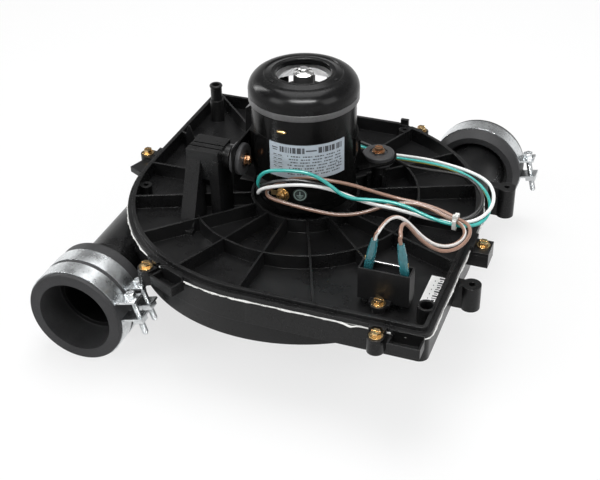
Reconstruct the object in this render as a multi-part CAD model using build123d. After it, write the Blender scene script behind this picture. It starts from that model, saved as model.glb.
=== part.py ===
"""Combustion fan (draft inducer) for a condensing furnace.

Flat two-part plastic casing with two round pipe outlets, an open motor standing
upright on three rubber mounts, a run capacitor and its wiring.
Frame: millimetres, +Z up along the motor shaft, origin on the shaft at the
underside of the round drum, +X to the right outlet side, +Y to the back.
"""
from build123d import *
import os
from math import atan2, cos, degrees, pi, radians, sin, sqrt, tan

os.makedirs("parts", exist_ok=True)

# ---------------------------------------------------------------- casing sizes
casing_radius = 145.0        # outer edge of the cover lip
back_flat = 5.5              # straight back edge, in from the round part
casing_back = casing_radius - back_flat
front_corner_radius = 9.0
back_corner_radius = 6.0
wall = 2.5
drum_inset = 5.5
drum_radius = casing_radius - drum_inset
drum_depth = 18.7
seam_height = 40.0           # top of the lower housing
seal_thickness = 1.0
lip_width = 3.5
lip_thickness = 3.5
rim_height = 48.0            # top of the cover ridge, ribs and collar
floor_height = 36.0          # top of the cover floor
floor_thickness = 2.5
ridge_width = 2.8
housing_inset = 2.0          # lower housing wall behind the cover lip
tray_clearance = 0.4         # between the cover tray and the housing wall
rib_thickness = 1.6
rib_count = 16
ring_rib_radius = 92.5
collar_radius = 44.4
collar_wall = 2.0
inlet_radius = 42.0
gasket_outer_radius = 60.0
gasket_thickness = 3.0

# ---------------------------------------------------------------- outlet sizes
pipe_radius = 30.15          # 2 inch pipe size, 60.3 mm outside
spigot_radius = 29.65        # housing's own pipe inside the sleeve
spigot_shoulder = 14.0
left_body_radius = 28.0
body_wall = 2.0
left_pipe_x = 12.7 - casing_radius
left_pipe_z = -1.7
left_pipe_inner_end = -20.0
left_sleeve_start = -casing_radius - 13.0
left_pipe_mouth = left_sleeve_start + 30.0
right_pipe_x = casing_radius - 34.0
right_pipe_z = 10.6
right_pipe_inner_end = 40.0
right_pipe_mouth = casing_back + 8.0
right_neck_radius = 26.0
right_flange = 7.6           # length of the flange inside the right sleeve
right_recess = 14.0          # from the sleeve's near end to the flange's mouth
coupling_wall = 9.2
left_coupling_length = 47.0
right_coupling_length = 28.0
band_width = 14.3
band_thickness = 0.9
band_gap = 4.0
clamp_screw_radius = 2.4
clamp_screw_length = 33.0
lug_gap = 14.0
lug_thickness = 1.6

# ----------------------------------------------------------------- motor sizes
can_radius = 41.3
can_wall = 1.2
bell_bottom = 50.0
bell_radius = can_radius - 3.3
can_bottom = 62.0
can_top = 114.0
dome_bottom = 134.0
dome_radius = can_radius + 2.1
dome_ring_height = 5.5
dome_top = 156.0
dome_opening = 22.0
dome_thickness = 1.6
shaft_radius = 3.97
shaft_top = 158.5
shaft_bottom = 10.0
running_clearance = 0.03
fit_clearance = 0.05
stator_bore = 22.3
stator_bottom = 76.0
stator_top = 104.0
air_gap = 0.5
bearing_radius = 9.5
bearing_height = 6.0
winding_inner = 25.5
winding_outer = 33.5
upper_winding_top = 112.0
lower_winding_bottom = 63.5
cooling_fan_radius = 22.5
cooling_disc_radius = 20.5
cooling_disc_top = 138.0
cooling_hub_radius = 8.0
cooling_hub_top = 153.0
spider_rim = 4.0             # height of the spider's rim on the can
spider_top = 120.5           # top of the spider's bearing seat

# -------------------------------------------------------------- impeller sizes
impeller_radius = 88.0
impeller_eye = 40.0
impeller_height = 21.5
blade_count = 12
blade_thickness = 1.6
impeller_top_gap = 2.4       # under the cover floor
hub_radius = 11.0
hub_height = 18.0

# -------------------------------------------------------------- mounting sizes
bracket_thickness = 1.5
grommet_radius = 13.0
grommet_height = 9.0
grommet_hole = 8.5
sleeve_radius = 4.5
sleeve_bore = 2.4
side_grommet_y = 33.0
side_grommet_z = 88.5
side_post_top = 100.0
side_post_right = -can_radius - 11.7
side_post_left = side_post_right - 27.0
side_post_front = 51.0
back_post_left = side_post_right - 9.0
side_post_back = 26.0
right_post_angle = 40.6
right_post_distance = can_radius + 23.2
right_post_top = 61.5
screw_shank_radius = 2.1
washer_radius = 5.2
washer_thickness = 1.0
hex_radius = 3.7
hex_height = 3.2

# ------------------------------------------------------------- capacitor sizes
capacitor_length = 38.7
capacitor_width = 13.4
capacitor_height = 26.4
capacitor_left = 82.0
capacitor_front = -112.6
capacitor_wall = 1.2
capacitor_recess = 5.0
capacitor_stand = 4.0        # height of the bosses under the case
terminal_inset = 5.6

# ----------------------------------------------------------------- wire sizes
wire_diameter = 2.8
tie_x = 130.5
tie_room_y = 11.2
tie_room_z = 7.4
tie_width = 3.0
tie_thickness = 1.0


# ------------------------------------------------------------- small builders
def ring(outer, inner, bottom, top):
    """Round ring about the shaft axis."""
    body = Cylinder(outer, top - bottom, align=(Align.CENTER, Align.CENTER, Align.MIN))
    hole = Cylinder(inner, top - bottom, align=(Align.CENTER, Align.CENTER, Align.MIN))
    return Pos(0, 0, bottom) * (body - hole)


def post(x, y, radius, bottom, top):
    """Upright round post."""
    body = Cylinder(radius, top - bottom, align=(Align.CENTER, Align.CENTER, Align.MIN))
    return Pos(x, y, bottom) * body


def block(x0, x1, y0, y1, z0, z1):
    """Box between two corners."""
    return Pos((x0 + x1) / 2, (y0 + y1) / 2, (z0 + z1) / 2) * Box(x1 - x0, y1 - y0, z1 - z0)


def along_y(x, z, radius, y0, y1):
    """Round bar lying along Y."""
    return Pos(x, (y0 + y1) / 2, z) * Rot(90, 0, 0) * Cylinder(radius, y1 - y0)


def hex_screw(length, shank=screw_shank_radius):
    """Hex washer head screw: underside of the washer at z = 0, shank pointing down."""
    washer = Cylinder(washer_radius, washer_thickness, align=(Align.CENTER, Align.CENTER, Align.MIN))
    head = extrude(RegularPolygon(hex_radius, 6), hex_height)
    head = Pos(0, 0, washer_thickness) * head
    slot = Box(2 * hex_radius, 1.1, 1.6)
    slot = Pos(0, 0, washer_thickness + hex_height) * slot
    body = Cylinder(shank, length, align=(Align.CENTER, Align.CENTER, Align.MAX))
    return washer + head + body - slot


def save(shape, name):
    """Write one sub-part."""
    export_step(shape, f"parts/{name}.step")


def group(solids):
    """Separate solids kept together as one sub-part."""
    return Compound(children=list(solids))


# -------------------------------------------------------------- casing outline
def casing_plan(inset):
    """Round casing with a square corner at the front right and the back left."""
    r = casing_radius - inset
    back = casing_back - inset
    front_corner = max(front_corner_radius - inset, 1.5)
    back_corner = max(back_corner_radius - inset, 1.5)
    plan = Circle(r)
    plan += Pos(r / 2, -r / 2) * RectangleRounded(r, r, front_corner)
    plan += Pos(-r / 2, back / 2) * RectangleRounded(r, back, back_corner)
    return plan & (Pos(0, (back - r) / 2) * Rectangle(2 * r, back + r))


def casing_slab(inset, bottom, top):
    """Slab with the casing outline."""
    return Pos(0, 0, bottom) * extrude(casing_plan(inset), top - bottom)


cover_bottom = seam_height + seal_thickness
lip_top = cover_bottom + lip_thickness
tray_inset = housing_inset + wall + tray_clearance
floor_bottom = floor_height - floor_thickness

# casing screws stand in ears just outside the wall
ear_reach = 8.0
ear_radius = 6.5
ear_bottom = 27.0
ear_top = 37.0               # joint between the housing's ear and the cover's plate
ear_plate_top = 39.8
ear_tie_width = 2.5          # upright web that joins the plate to the lip
round_ear_distance = casing_radius + ear_reach
ear_places = [
    (-casing_radius - 12.0, 25.0),
    (round_ear_distance * cos(radians(238.2)), round_ear_distance * sin(radians(238.2))),
    (casing_radius * 0.745, -casing_radius - ear_reach * 0.7),
    (casing_radius + ear_reach, -18.0),
    (round_ear_distance * cos(radians(67.5)), round_ear_distance * sin(radians(67.5))),
    (-60.0, casing_back + ear_reach * 0.8),
]


def ear(place, bottom, top):
    """Round ear joined to the casing wall by a web that points at the wall."""
    x, y = place
    column = post(x, y, ear_radius, bottom, top)
    square_right = x > casing_radius and y < 0
    square_front = y < -casing_radius and x > 0
    square_back = y > casing_back and x < 0
    if square_right:
        inward = (casing_radius - lip_width - 1.0, y)
    elif square_front:
        inward = (x, -casing_radius + lip_width + 1.0)
    elif square_back:
        inward = (x, casing_back - lip_width - 1.0)
    else:
        share = (casing_radius - lip_width - 1.0) / sqrt(x * x + y * y)
        inward = (x * share, y * share)
    if square_right:
        return block(inward[0], x + 6.5, y - 11.0, y + 8.0, bottom, top)
    length = sqrt((x - inward[0]) ** 2 + (y - inward[1]) ** 2)
    angle = degrees(atan2(y - inward[1], x - inward[0]))
    web = Box(length, 2 * ear_radius, top - bottom)
    middle = Pos((x + inward[0]) / 2, (y + inward[1]) / 2, (bottom + top) / 2)
    return column + middle * Rot(0, 0, angle) * web


# ------------------------------------------------------------------- housing
side_boss_radius = 7.4
side_boss_hole = 2.4
side_bosses = [
    (casing_radius + 10.0, -62.0, 13.0, 34.0),
    (casing_radius + 5.5, 80.0, 8.0, 35.0),
]


def lower_housing():
    chamber_radius = drum_radius - wall
    body = casing_slab(housing_inset, drum_depth, seam_height)
    body += post(0, 0, drum_radius, 0, drum_depth)
    shoulder_end = left_coupling_start + left_coupling_length + spigot_shoulder
    body += along_y(left_pipe_x, left_pipe_z, spigot_radius, left_pipe_mouth, shoulder_end)
    body += along_y(left_pipe_x, left_pipe_z, left_body_radius, shoulder_end, left_pipe_inner_end)
    body += Pos(left_pipe_x, left_pipe_inner_end, left_pipe_z) * Sphere(left_body_radius)
    button_top = left_pipe_z + spigot_radius + 1.2
    body += post(left_pipe_x - 2.5, shoulder_end - 4.0, 2.2, left_pipe_z + 20, button_top)
    neck_end = right_pipe_mouth - right_flange
    body += along_y(right_pipe_x, right_pipe_z, right_neck_radius, right_pipe_inner_end, neck_end)
    body += Pos(right_pipe_x, right_pipe_inner_end, right_pipe_z) * Sphere(right_neck_radius)
    body += along_y(right_pipe_x, right_pipe_z, spigot_radius, neck_end, right_pipe_mouth)
    for place in ear_places:
        body += ear(place, ear_bottom, ear_top)
    # flat shelf beside the left screw
    shelf = Polygon((7.0, 30.0), (-10.0, 30.0), (-19.0, 4.0), (-5.0, -3.0), (5.0, -3.0), align=None)
    body += Pos(-casing_radius, 0, ear_top - 5.5) * extrude(shelf, 5.0)
    for x, y, bottom, top in side_bosses:
        body += post(x, y, side_boss_radius, bottom, top)
        body += block(x - 2 * side_boss_radius, x, y - side_boss_radius * 0.6,
                      y + side_boss_radius * 0.6, bottom, top)
    # inside of the drum, of the two square corners and of the pipes
    body -= post(0, 0, chamber_radius, wall, seam_height)
    corners = casing_slab(housing_inset + wall, drum_depth + wall, seam_height)
    body -= corners - post(0, 0, drum_radius, drum_depth, seam_height)
    left_bore = left_body_radius - body_wall
    body -= along_y(left_pipe_x, left_pipe_z, left_bore, left_pipe_mouth, left_pipe_inner_end)
    body -= Pos(left_pipe_x, left_pipe_inner_end, left_pipe_z) * Sphere(left_bore)
    right_bore = right_neck_radius - body_wall
    body -= along_y(right_pipe_x, right_pipe_z, right_bore, right_pipe_inner_end, right_pipe_mouth)
    body -= Pos(right_pipe_x, right_pipe_inner_end, right_pipe_z) * Sphere(right_bore)
    # room for the cover tray, the inlet and the screw holes
    tray_room = casing_slab(housing_inset + wall, floor_bottom - 0.3, seam_height)
    body -= tray_room
    body -= post(0, 0, inlet_radius, 0, wall)
    for x, y in ear_places:
        body -= post(x, y, screw_shank_radius + fit_clearance, ear_bottom + 2, ear_top)
    for x, y, bottom, top in side_bosses:
        body -= post(x, y, side_boss_hole, bottom, top)
    return body


def housing_seal():
    """Squeezed sealant bead between the two casing halves."""
    bead = casing_slab(0.6, seam_height, seam_height + seal_thickness)
    return bead - casing_slab(housing_inset + wall, seam_height, seam_height + seal_thickness)


# --------------------------------------------------------------------- cover
front_tube = (casing_radius - 10.0, 27.0 - casing_radius)
back_tube = (18.0 - casing_radius, casing_back - 31.5)
left_boss = (14.0 - casing_radius, -29.8)
back_boss = (47.6, casing_back - 14.5)
pocket_depth = 12.0
pocket_height = 8.0
pocket_drop = 4.0            # rim of each pocket below the top of the lip


def side_post():
    """Tall post with two legs, left of the motor and in front of the shaft."""
    side = -1
    y0, y1 = sorted((side * side_post_front, side * side_post_back))
    body = block(side_post_left, side_post_right, y0, y1, floor_height, side_post_top)
    # hollow back and slot between the two front legs
    mid_y0, mid_y1 = sorted((side * (side_post_front - 4.0), side * side_post_back))
    hollow = block(side_post_left + 3, side_post_right - 5, mid_y0, mid_y1,
                   floor_height, side_post_top - 6)
    slot_left = side_post_left + 12.0
    slot_y0, slot_y1 = sorted((side * side_post_front, side * (side_post_front - 4.0)))
    slot = block(slot_left, slot_left + 7.0, slot_y0, slot_y1, floor_height, side_post_top - 25)
    body -= hollow
    body -= slot
    # sloping buttress in front of the outer leg
    foot = side_post_front + 20.0
    with BuildPart() as buttress:
        with BuildSketch(Plane.YZ.offset(side_post_left)):
            with BuildLine():
                Polyline(
                    (side * (side_post_front - 4.0), floor_height),
                    (side * (foot + 4.0), floor_height),
                    (side * (foot + 4.0), floor_height + 3.0),
                    (side * foot, floor_height + 3.0),
                    (side * foot, floor_height + 6.0),
                    (side * side_post_front, side_post_top - 8.0),
                    (side * (side_post_front - 4.0), side_post_top - 8.0),
                    close=True,
                )
            make_face()
        extrude(amount=12.0)
    body += buttress.part
    # pad for the rubber mount and two grooves in the top
    pad_face = -can_radius - bracket_thickness * 1.5 - grommet_height / 2 - 0.3
    pad_length = pad_face - side_post_right
    pad = Pos(side_post_right, side * side_grommet_y, side_grommet_z) * Rot(0, 90, 0)
    pad_body = Cylinder(10.0, pad_length, align=(Align.CENTER, Align.CENTER, Align.MIN))
    body += pad * pad_body
    for step in (7.0, 13.0):
        y = side * (side_post_front - step)
        body -= block(side_post_left, side_post_right, y - 1, y + 1, side_post_top - 1.5, side_post_top)
    hole = Cylinder(screw_shank_radius + fit_clearance, 16.0,
                    align=(Align.CENTER, Align.CENTER, Align.MIN))
    hole = Pos(pad_face, side * side_grommet_y, side_grommet_z) * Rot(0, -90, 0) * hole
    return body - hole


def back_post():
    """Narrow blade of a post behind the motor, with a slanted top and a rear buttress."""
    y0 = side_post_back
    y1 = side_post_front
    with BuildPart() as blade:
        with BuildSketch(Plane.XZ.offset(-y1)):
            with BuildLine():
                Polyline((back_post_left - 2, floor_height), (side_post_right, floor_height),
                         (side_post_right, side_post_top + 2), (side_post_right - 3, side_post_top + 4),
                         (back_post_left, side_post_top), close=True)
            make_face()
        extrude(amount=y1 - y0)
    body = blade.part
    with BuildPart() as buttress:
        with BuildSketch(Plane.YZ.offset(back_post_left)):
            with BuildLine():
                Polyline((y1 - 1, floor_height), (y1 + 20, floor_height), (y1 + 20, floor_height + 3),
                         (y1, side_post_top - 8), (y1 - 1, side_post_top - 8), close=True)
            make_face()
        extrude(amount=3.0)
    body += buttress.part
    pad_face = -can_radius - bracket_thickness * 1.5 - grommet_height / 2 - 0.3
    pad = Pos(side_post_right, side_grommet_y, side_grommet_z) * Rot(0, 90, 0)
    body += pad * Cylinder(10.0, pad_face - side_post_right, align=(Align.CENTER, Align.CENTER, Align.MIN))
    hole = Cylinder(screw_shank_radius + fit_clearance, 16.0,
                    align=(Align.CENTER, Align.CENTER, Align.MIN))
    return body - Pos(pad_face, side_grommet_y, side_grommet_z) * Rot(0, -90, 0) * hole


def right_post():
    """Short tapered column with four fins under the right mount."""
    height = right_post_top - floor_height
    column = Cone(7.5, 5.5, height, align=(Align.CENTER, Align.CENTER, Align.MIN))
    for angle in (0, 90):
        fin = Box(21.0, 2.0, height - 9.0, align=(Align.CENTER, Align.CENTER, Align.MIN))
        column += Rot(0, 0, angle) * fin
    hole_depth = 14.0
    hole = Cylinder(screw_shank_radius + fit_clearance, hole_depth,
                    align=(Align.CENTER, Align.CENTER, Align.MAX))
    column -= Pos(0, 0, height) * hole
    x = right_post_distance * cos(radians(right_post_angle))
    y = right_post_distance * sin(radians(right_post_angle))
    return Pos(x, y, floor_height) * Rot(0, 0, right_post_angle) * column


def pocket(x, y, angle, length):
    """Open box that hangs on the outside of the lip to hold the harness clip."""
    body = Box(length, pocket_depth, pocket_height)
    body -= Pos(0, 0, 1.5) * Box(length - 3.0, pocket_depth - 3.0, pocket_height)
    back = Box(length, 1.5, pocket_height + pocket_drop)
    body += Pos(0, pocket_depth / 2 - 0.75, pocket_drop / 2) * back
    return Pos(x, y, lip_top - pocket_drop - pocket_height / 2) * Rot(0, 0, angle) * body


def cover():
    body = casing_slab(tray_inset, floor_bottom, floor_height)
    wall_ring = casing_slab(tray_inset, floor_height, rim_height)
    wall_ring += casing_slab(0, cover_bottom, lip_top)
    wall_ring += casing_slab(lip_width, lip_top, rim_height)
    inside = casing_slab(lip_width + ridge_width, floor_height, rim_height)
    body += wall_ring - inside
    ribs = ring(ring_rib_radius + rib_thickness / 2, ring_rib_radius - rib_thickness / 2,
                floor_height, rim_height)
    ribs += ring(collar_radius, collar_radius - collar_wall, floor_height, rim_height)
    rib_length = casing_radius * sqrt(2)
    for number in range(rib_count):
        angle = 360.0 / rib_count * number
        start = collar_radius - collar_wall / 2
        end = rib_length
        behind_capacitor = number == rib_count - 2
        if behind_capacitor:
            end = ring_rib_radius + 14.0
        rib = Box(end - start, rib_thickness, rim_height - floor_height,
                  align=(Align.MIN, Align.CENTER, Align.MIN))
        ribs += Rot(0, 0, angle) * (Pos(start, 0, floor_height) * rib)
    body += ribs & casing_slab(lip_width + ridge_width / 2, floor_height, rim_height)
    # screw plates below the lip, each hung from it by an upright web
    inside_plates = casing_slab(0.3, ear_top, ear_plate_top)
    web_band = casing_slab(-ear_tie_width, ear_top, lip_top) - casing_slab(0.3, ear_top, lip_top)
    for place in ear_places:
        body += ear(place, ear_top, ear_plate_top) - inside_plates
        body += ear(place, ear_top, lip_top) & web_band
    front_pocket_x = casing_radius * 0.745 + ear_radius + 15.0
    body += pocket(front_pocket_x, -casing_radius - pocket_depth / 2 + 0.3, 0, 24.0)
    arc_angle = radians(247.0)
    arc_distance = casing_radius + pocket_depth / 2 - 0.1
    body += pocket(arc_distance * cos(arc_angle), arc_distance * sin(arc_angle), 247.0 - 270.0, 24.0)
    # hollow front tube, back pressure tap, short bosses, guide fin and tab
    body += post(*front_tube, 6.6, floor_height, 50.0) & casing_slab(tray_inset, floor_height, 50.0)
    body += post(*back_tube, 6.2, floor_height, 57.0) + post(*back_tube, 5.2, 57.0, 72.0)
    body += post(*left_boss, 5.0, floor_height, lip_top) + post(*back_boss, 5.0, floor_height, rim_height)
    tab_x = back_boss[0] - 2.5
    body += block(tab_x - 3.5, tab_x + 3.5, casing_back - 7.0, casing_back - 4.0, lip_top, 53.0)
    with BuildPart() as fin:
        with BuildSketch(Plane.XZ.offset(-50.0)):
            with BuildLine():
                Polyline((-130.5, floor_height), (-123.5, floor_height), (-123.5, 51), (-126.5, 60),
                         (-127.5, 60), (-130.5, 51), close=True)
            make_face()
        extrude(amount=2.0)
    body += fin.part
    body += side_post()
    body += back_post()
    body += right_post()
    # bosses that carry the capacitor and its screw
    ear_x = capacitor_left + capacitor_length / 2 - 1.5
    ear_y = capacitor_front - 5.6
    body += post(ear_x, ear_y, 4.8, floor_height, floor_height + capacitor_stand)
    for x in (capacitor_left + 6.0, capacitor_left + capacitor_length - 6.0):
        body += post(x, capacitor_front + capacitor_width / 2, 4.0, floor_height,
                     floor_height + capacitor_stand)
    body -= post(ear_x, ear_y, screw_shank_radius + fit_clearance, floor_height - 1.0,
                 floor_height + capacitor_stand)
    # holes
    body -= post(*front_tube, 4.8, floor_height + 2, 50.0)
    body -= post(*back_tube, 3.6, floor_bottom, 72.0)
    body -= post(*left_boss, 2.2, floor_height + 2, lip_top)
    body -= post(*back_boss, 2.0, floor_height + 2, rim_height)
    for x, y in ear_places:
        body -= post(x, y, screw_shank_radius + 0.3, ear_top, ear_plate_top)
        body -= post(x, y, washer_radius + 0.3, ear_plate_top, lip_top)
    body -= post(0, 0, seal_bore_radius + 3.0, floor_bottom, floor_height)
    return body


seal_bore_radius = shaft_radius + 0.08


def shaft_seal():
    """Flat seal that closes the gap round the shaft on top of the cover floor."""
    return ring(16.0, seal_bore_radius, floor_height, floor_height + 3.0)


def cover_screws():
    screws = []
    for x, y in ear_places:
        screws.append(Pos(x, y, ear_plate_top) * hex_screw(10.0))
    return group(screws)


def inlet_gasket():
    return ring(gasket_outer_radius, inlet_radius + 3.0, -gasket_thickness, 0)


# ----------------------------------------------------- couplings and clamps
def coupling(x, z, y0, length, mouth, taper_at_start):
    """Rubber sleeve along Y: one end grips the housing's pipe, the other takes the vent pipe."""
    outer = pipe_radius + coupling_wall
    sleeve = along_y(x, z, outer, y0, y0 + length)
    sleeve = chamfer(sleeve.edges().filter_by(GeomType.CIRCLE), 1.0)
    if taper_at_start:
        nose = Pos(x, y0, z) * Rot(-90, 0, 0)
        cut = Cylinder(outer + 5, 7.0, align=(Align.CENTER, Align.CENTER, Align.MIN))
        cut -= Cone(outer - 4.5, outer, 7.0, align=(Align.CENTER, Align.CENTER, Align.MIN))
        sleeve -= nose * cut
    sleeve -= along_y(x, z, spigot_radius, y0, y0 + length)
    free_start, free_end = (mouth, y0 + length) if taper_at_start else (y0, mouth)
    return sleeve - along_y(x, z, pipe_radius, free_start, free_end)


def clamp_band(clamp):
    """Steel band round the sleeve with two flat lugs that the screw pulls together."""
    x, z, y0, angle, reach, shift = clamp
    inner = pipe_radius + coupling_wall
    outer = inner + band_thickness
    band = along_y(0, 0, outer, 0, band_width) - along_y(0, 0, inner, 0, band_width)
    band -= block(inner - 8.0, outer + 1.0, 0, band_width, shift - lug_gap / 2, shift + lug_gap / 2)
    for sign in (-1, 1):
        centre = shift + sign * (lug_gap + lug_thickness) / 2
        lug = block(inner - 6.0, reach + 5.5, 1.0, band_width - 1.0,
                    centre - lug_thickness / 2, centre + lug_thickness / 2)
        band += lug - along_y(0, 0, inner, 0, band_width)
    band -= post(reach, band_width / 2, clamp_screw_radius + 0.2, -40, 40)
    return Pos(x, y0, z) * Rot(0, -angle, 0) * band


def clamp_screw(clamp):
    """Machine screw through both lugs, head on top."""
    x, z, y0, angle, reach, shift = clamp
    head = Cylinder(4.6, 3.4, align=(Align.CENTER, Align.CENTER, Align.MIN))
    head -= Pos(0, 0, 3.4) * Box(10.0, 1.2, 2.4)
    shank = Cylinder(clamp_screw_radius, clamp_screw_length, align=(Align.CENTER, Align.CENTER, Align.MAX))
    top = shift + lug_gap / 2 + lug_thickness
    return Pos(x, y0, z) * Rot(0, -angle, 0) * Pos(reach, band_width / 2, top) * (head + shank)


def clamp_nut(clamp):
    """Square nut under the lower lug."""
    x, z, y0, angle, reach, shift = clamp
    nut = Box(8.4, 8.4, 4.0, align=(Align.CENTER, Align.CENTER, Align.MAX))
    nut -= Cylinder(clamp_screw_radius + running_clearance, 4.0,
                    align=(Align.CENTER, Align.CENTER, Align.MAX))
    bottom = shift - lug_gap / 2 - lug_thickness
    return Pos(x, y0, z) * Rot(0, -angle, 0) * Pos(reach, band_width / 2, bottom) * nut


left_coupling_start = left_sleeve_start
left_bands = (left_coupling_start + 3.0, left_coupling_start + 3.0 + band_width + band_gap)
right_coupling_start = right_pipe_mouth - right_recess
right_band = right_coupling_start + 9.0
# each clamp: axis x and z, start y, turn of the screw about the axis, screw's distance, shift
left_clamps = [
    (left_pipe_x, left_pipe_z, left_bands[0], 16.0, 51.5, 1.0),
    (left_pipe_x, left_pipe_z, left_bands[1], 17.5, 49.5, 0.0),
]
right_clamp = (right_pipe_x, right_pipe_z, right_band, 12.5, 46.5, -3.5)


# --------------------------------------------------------------------- motor
def lower_end_bell():
    """Shallow cup that closes the bottom of the motor and holds the lower bearing."""
    with BuildPart() as bell:
        with BuildSketch(Plane.XZ):
            with BuildLine():
                Polyline(
                    (bearing_radius, bell_bottom),
                    (bell_radius, bell_bottom),
                    (bell_radius, bell_bottom + 5.0),
                    (can_radius, can_bottom - 4.0),
                    (can_radius, can_bottom),
                    (can_radius - 2.5, can_bottom),
                    (can_radius - 2.5, can_bottom - 3.0),
                    (bell_radius - 2.0, bell_bottom + 6.0),
                    (bell_radius - 2.0, bell_bottom + 2.0),
                    (bearing_radius + 3.0, bell_bottom + 2.0),
                    (bearing_radius + 3.0, bell_bottom + bearing_height + 1.0),
                    (bearing_radius, bell_bottom + bearing_height + 1.0),
                    close=True,
                )
            make_face()
        revolve(axis=Axis.Z)
    shoulder = ring(bearing_radius + 0.5, shaft_radius + 1.5, bell_bottom, bell_bottom + 1.0)
    return bell.part + shoulder


def motor_can():
    """Drawn steel shell with a turned-in top edge and cooling slots."""
    can = ring(can_radius, can_radius - can_wall, can_bottom, can_top)
    can += ring(can_radius - can_wall / 2, can_radius - 2.4, can_top - can_wall, can_top)
    exit_hole = Cylinder(5.0, 12.0)
    can -= on_can(wire_exit_angle, wire_exit_height) * exit_hole
    hole = Cylinder(1.6, 8.0)
    can -= on_can(ground_screw_angle, ground_screw_height) * hole
    return can


ground_screw_angle = 265.7
ground_screw_height = 68.3
wire_exit_angle = 244.0
wire_exit_height = 70.0
bushing_reach = 3.7          # from the can wall to the middle of the bushing's face
exit_share = (can_radius + bushing_reach) / 45.0
wire_exit_face = (-19.8 * exit_share, -40.4 * exit_share, 70.0)
wire_exit_direction = (0.342, -0.940, 0.0)


def on_can(angle, height, proud=0.0):
    """Place on the can wall whose local +Z points straight out."""
    distance = can_radius + proud
    place = Pos(distance * cos(radians(angle)), distance * sin(radians(angle)), height)
    return place * Rot(0, 0, angle) * Rot(0, 90, 0)


def wire_bushing():
    """Rubber bushing in the can, slanted so that the wires leave to the right."""
    face = Plane(origin=wire_exit_face, z_dir=wire_exit_direction, x_dir=(0, 0, 1))
    boot = extrude(face * RectangleRounded(9.4, 11.8, 3.0), -16.0)
    boot -= post(0, 0, can_radius, can_bottom - 10, can_top)
    hole_plug = Cylinder(4.9, 3.4, align=(Align.CENTER, Align.CENTER, Align.MAX))
    plug = on_can(wire_exit_angle, wire_exit_height, 0.5) * hole_plug
    return boot + plug


def stator_core():
    """Laminated stack pressed into the can, with a round bore for the rotor."""
    outer = can_radius - can_wall - fit_clearance
    core = ring(outer, stator_bore, stator_bottom, stator_top)
    for number in range(24):
        slot = Box(9.0, 2.6, stator_top - stator_bottom)
        core -= Rot(0, 0, 15.0 * number) * (Pos(29.0, 0, (stator_bottom + stator_top) / 2) * slot)
    return core


def windings():
    """Rounded end turns of the coils above and below the stack."""
    upper = ring(winding_outer, winding_inner, stator_top, upper_winding_top)
    upper = fillet(upper.edges().group_by(Axis.Z)[-1], 3.0)
    lower = ring(winding_outer, winding_inner, lower_winding_bottom, stator_bottom)
    lower = fillet(lower.edges().group_by(Axis.Z)[0], 3.0)
    return group([upper, lower])


def upper_spider():
    """Cross of four arms on the can's edge that carries the upper bearing."""
    rim_top = can_top + spider_rim
    rim_inner = can_radius - 3.0
    hub = ring(bearing_radius + 3.0, bearing_radius, spider_top - bearing_height - 1.5, spider_top)
    hub += ring(bearing_radius + 0.5, shaft_radius + 1.5, spider_top - 1.0, spider_top)
    hub += ring(can_radius, rim_inner, can_top, rim_top)
    for number in range(4):
        length = rim_inner + 1.0 - bearing_radius - 2.0
        arm = Box(length, 9.0, 3.0, align=(Align.MIN, Align.CENTER, Align.MAX))
        hub += Rot(0, 0, 45.0 + 90.0 * number) * (Pos(bearing_radius + 2.0, 0, rim_top) * arm)
    for number in range(4):
        angle = radians(45.0 + 90.0 * number)
        hub -= post(bolt_distance * cos(angle), bolt_distance * sin(angle), 1.75, can_top, rim_top)
    return hub


bolt_distance = can_radius - 4.3


def through_bolts():
    """Four bolts from the stator to the upper spider, with hex heads on top."""
    bolts = []
    for number in range(4):
        angle = radians(45.0 + 90.0 * number)
        x = bolt_distance * cos(angle)
        y = bolt_distance * sin(angle)
        rim_top = can_top + spider_rim
        bolt = post(x, y, 1.6, stator_top, rim_top + 1.0)
        bolts.append(bolt + Pos(x, y, rim_top) * extrude(RegularPolygon(2.6, 6), 2.2))
    return group(bolts)


strut_distance = can_radius - 1.6


def dome_struts():
    """Three pairs of thin pillars that hold the dome ring above the can."""
    pillars = []
    for angle in (90.0, 210.0, 330.0):
        for offset in (-9.0, 9.0):
            turn = radians(angle + offset)
            x = strut_distance * cos(turn)
            y = strut_distance * sin(turn)
            pillars.append(post(x, y, 1.1, can_top + spider_rim, dome_bottom))
    return group(pillars)


def dome_ring():
    """Bare metal ring between the spider and the dome."""
    lower = ring(dome_radius, can_radius - 3.0, dome_bottom, dome_bottom + dome_ring_height)
    return fillet(lower.edges().filter_by(GeomType.CIRCLE).sort_by(SortBy.RADIUS)[-2:], 0.8)


def dome_cap():
    """Rounded cap with a stepped ring and a round opening over the cooling fan."""
    base = dome_bottom + dome_ring_height
    step_radius = dome_opening + 9.0
    with BuildPart() as cap:
        with BuildSketch(Plane.XZ):
            with BuildLine():
                outer_side = Line((dome_radius, base), (dome_radius, base + 2.0))
                shoulder = ThreePointArc(
                    (dome_radius, base + 2.0),
                    (dome_radius - 2.8, dome_top - 5.6),
                    (step_radius, dome_top - 0.9),
                )
                step = Polyline(
                    (step_radius, dome_top - 0.9),
                    (step_radius - 0.8, dome_top - 1.6),
                    (dome_opening + 3.0, dome_top),
                    (dome_opening, dome_top - 0.6),
                    (dome_opening, dome_top - 4.5),
                    (dome_opening + 1.4, dome_top - 4.5),
                    (dome_opening + 1.8, dome_top - 2.2),
                    (step_radius, dome_top - 3.4),
                )
                inner = ThreePointArc(
                    (step_radius, dome_top - 3.4),
                    (dome_radius - 5.0, dome_top - 7.6),
                    (dome_radius - dome_thickness, base + 2.0),
                )
                Polyline(
                    (dome_radius - dome_thickness, base + 2.0),
                    (dome_radius - dome_thickness, base),
                    (dome_radius, base),
                )
            make_face()
        revolve(axis=Axis.Z)
    return cap.part


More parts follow.
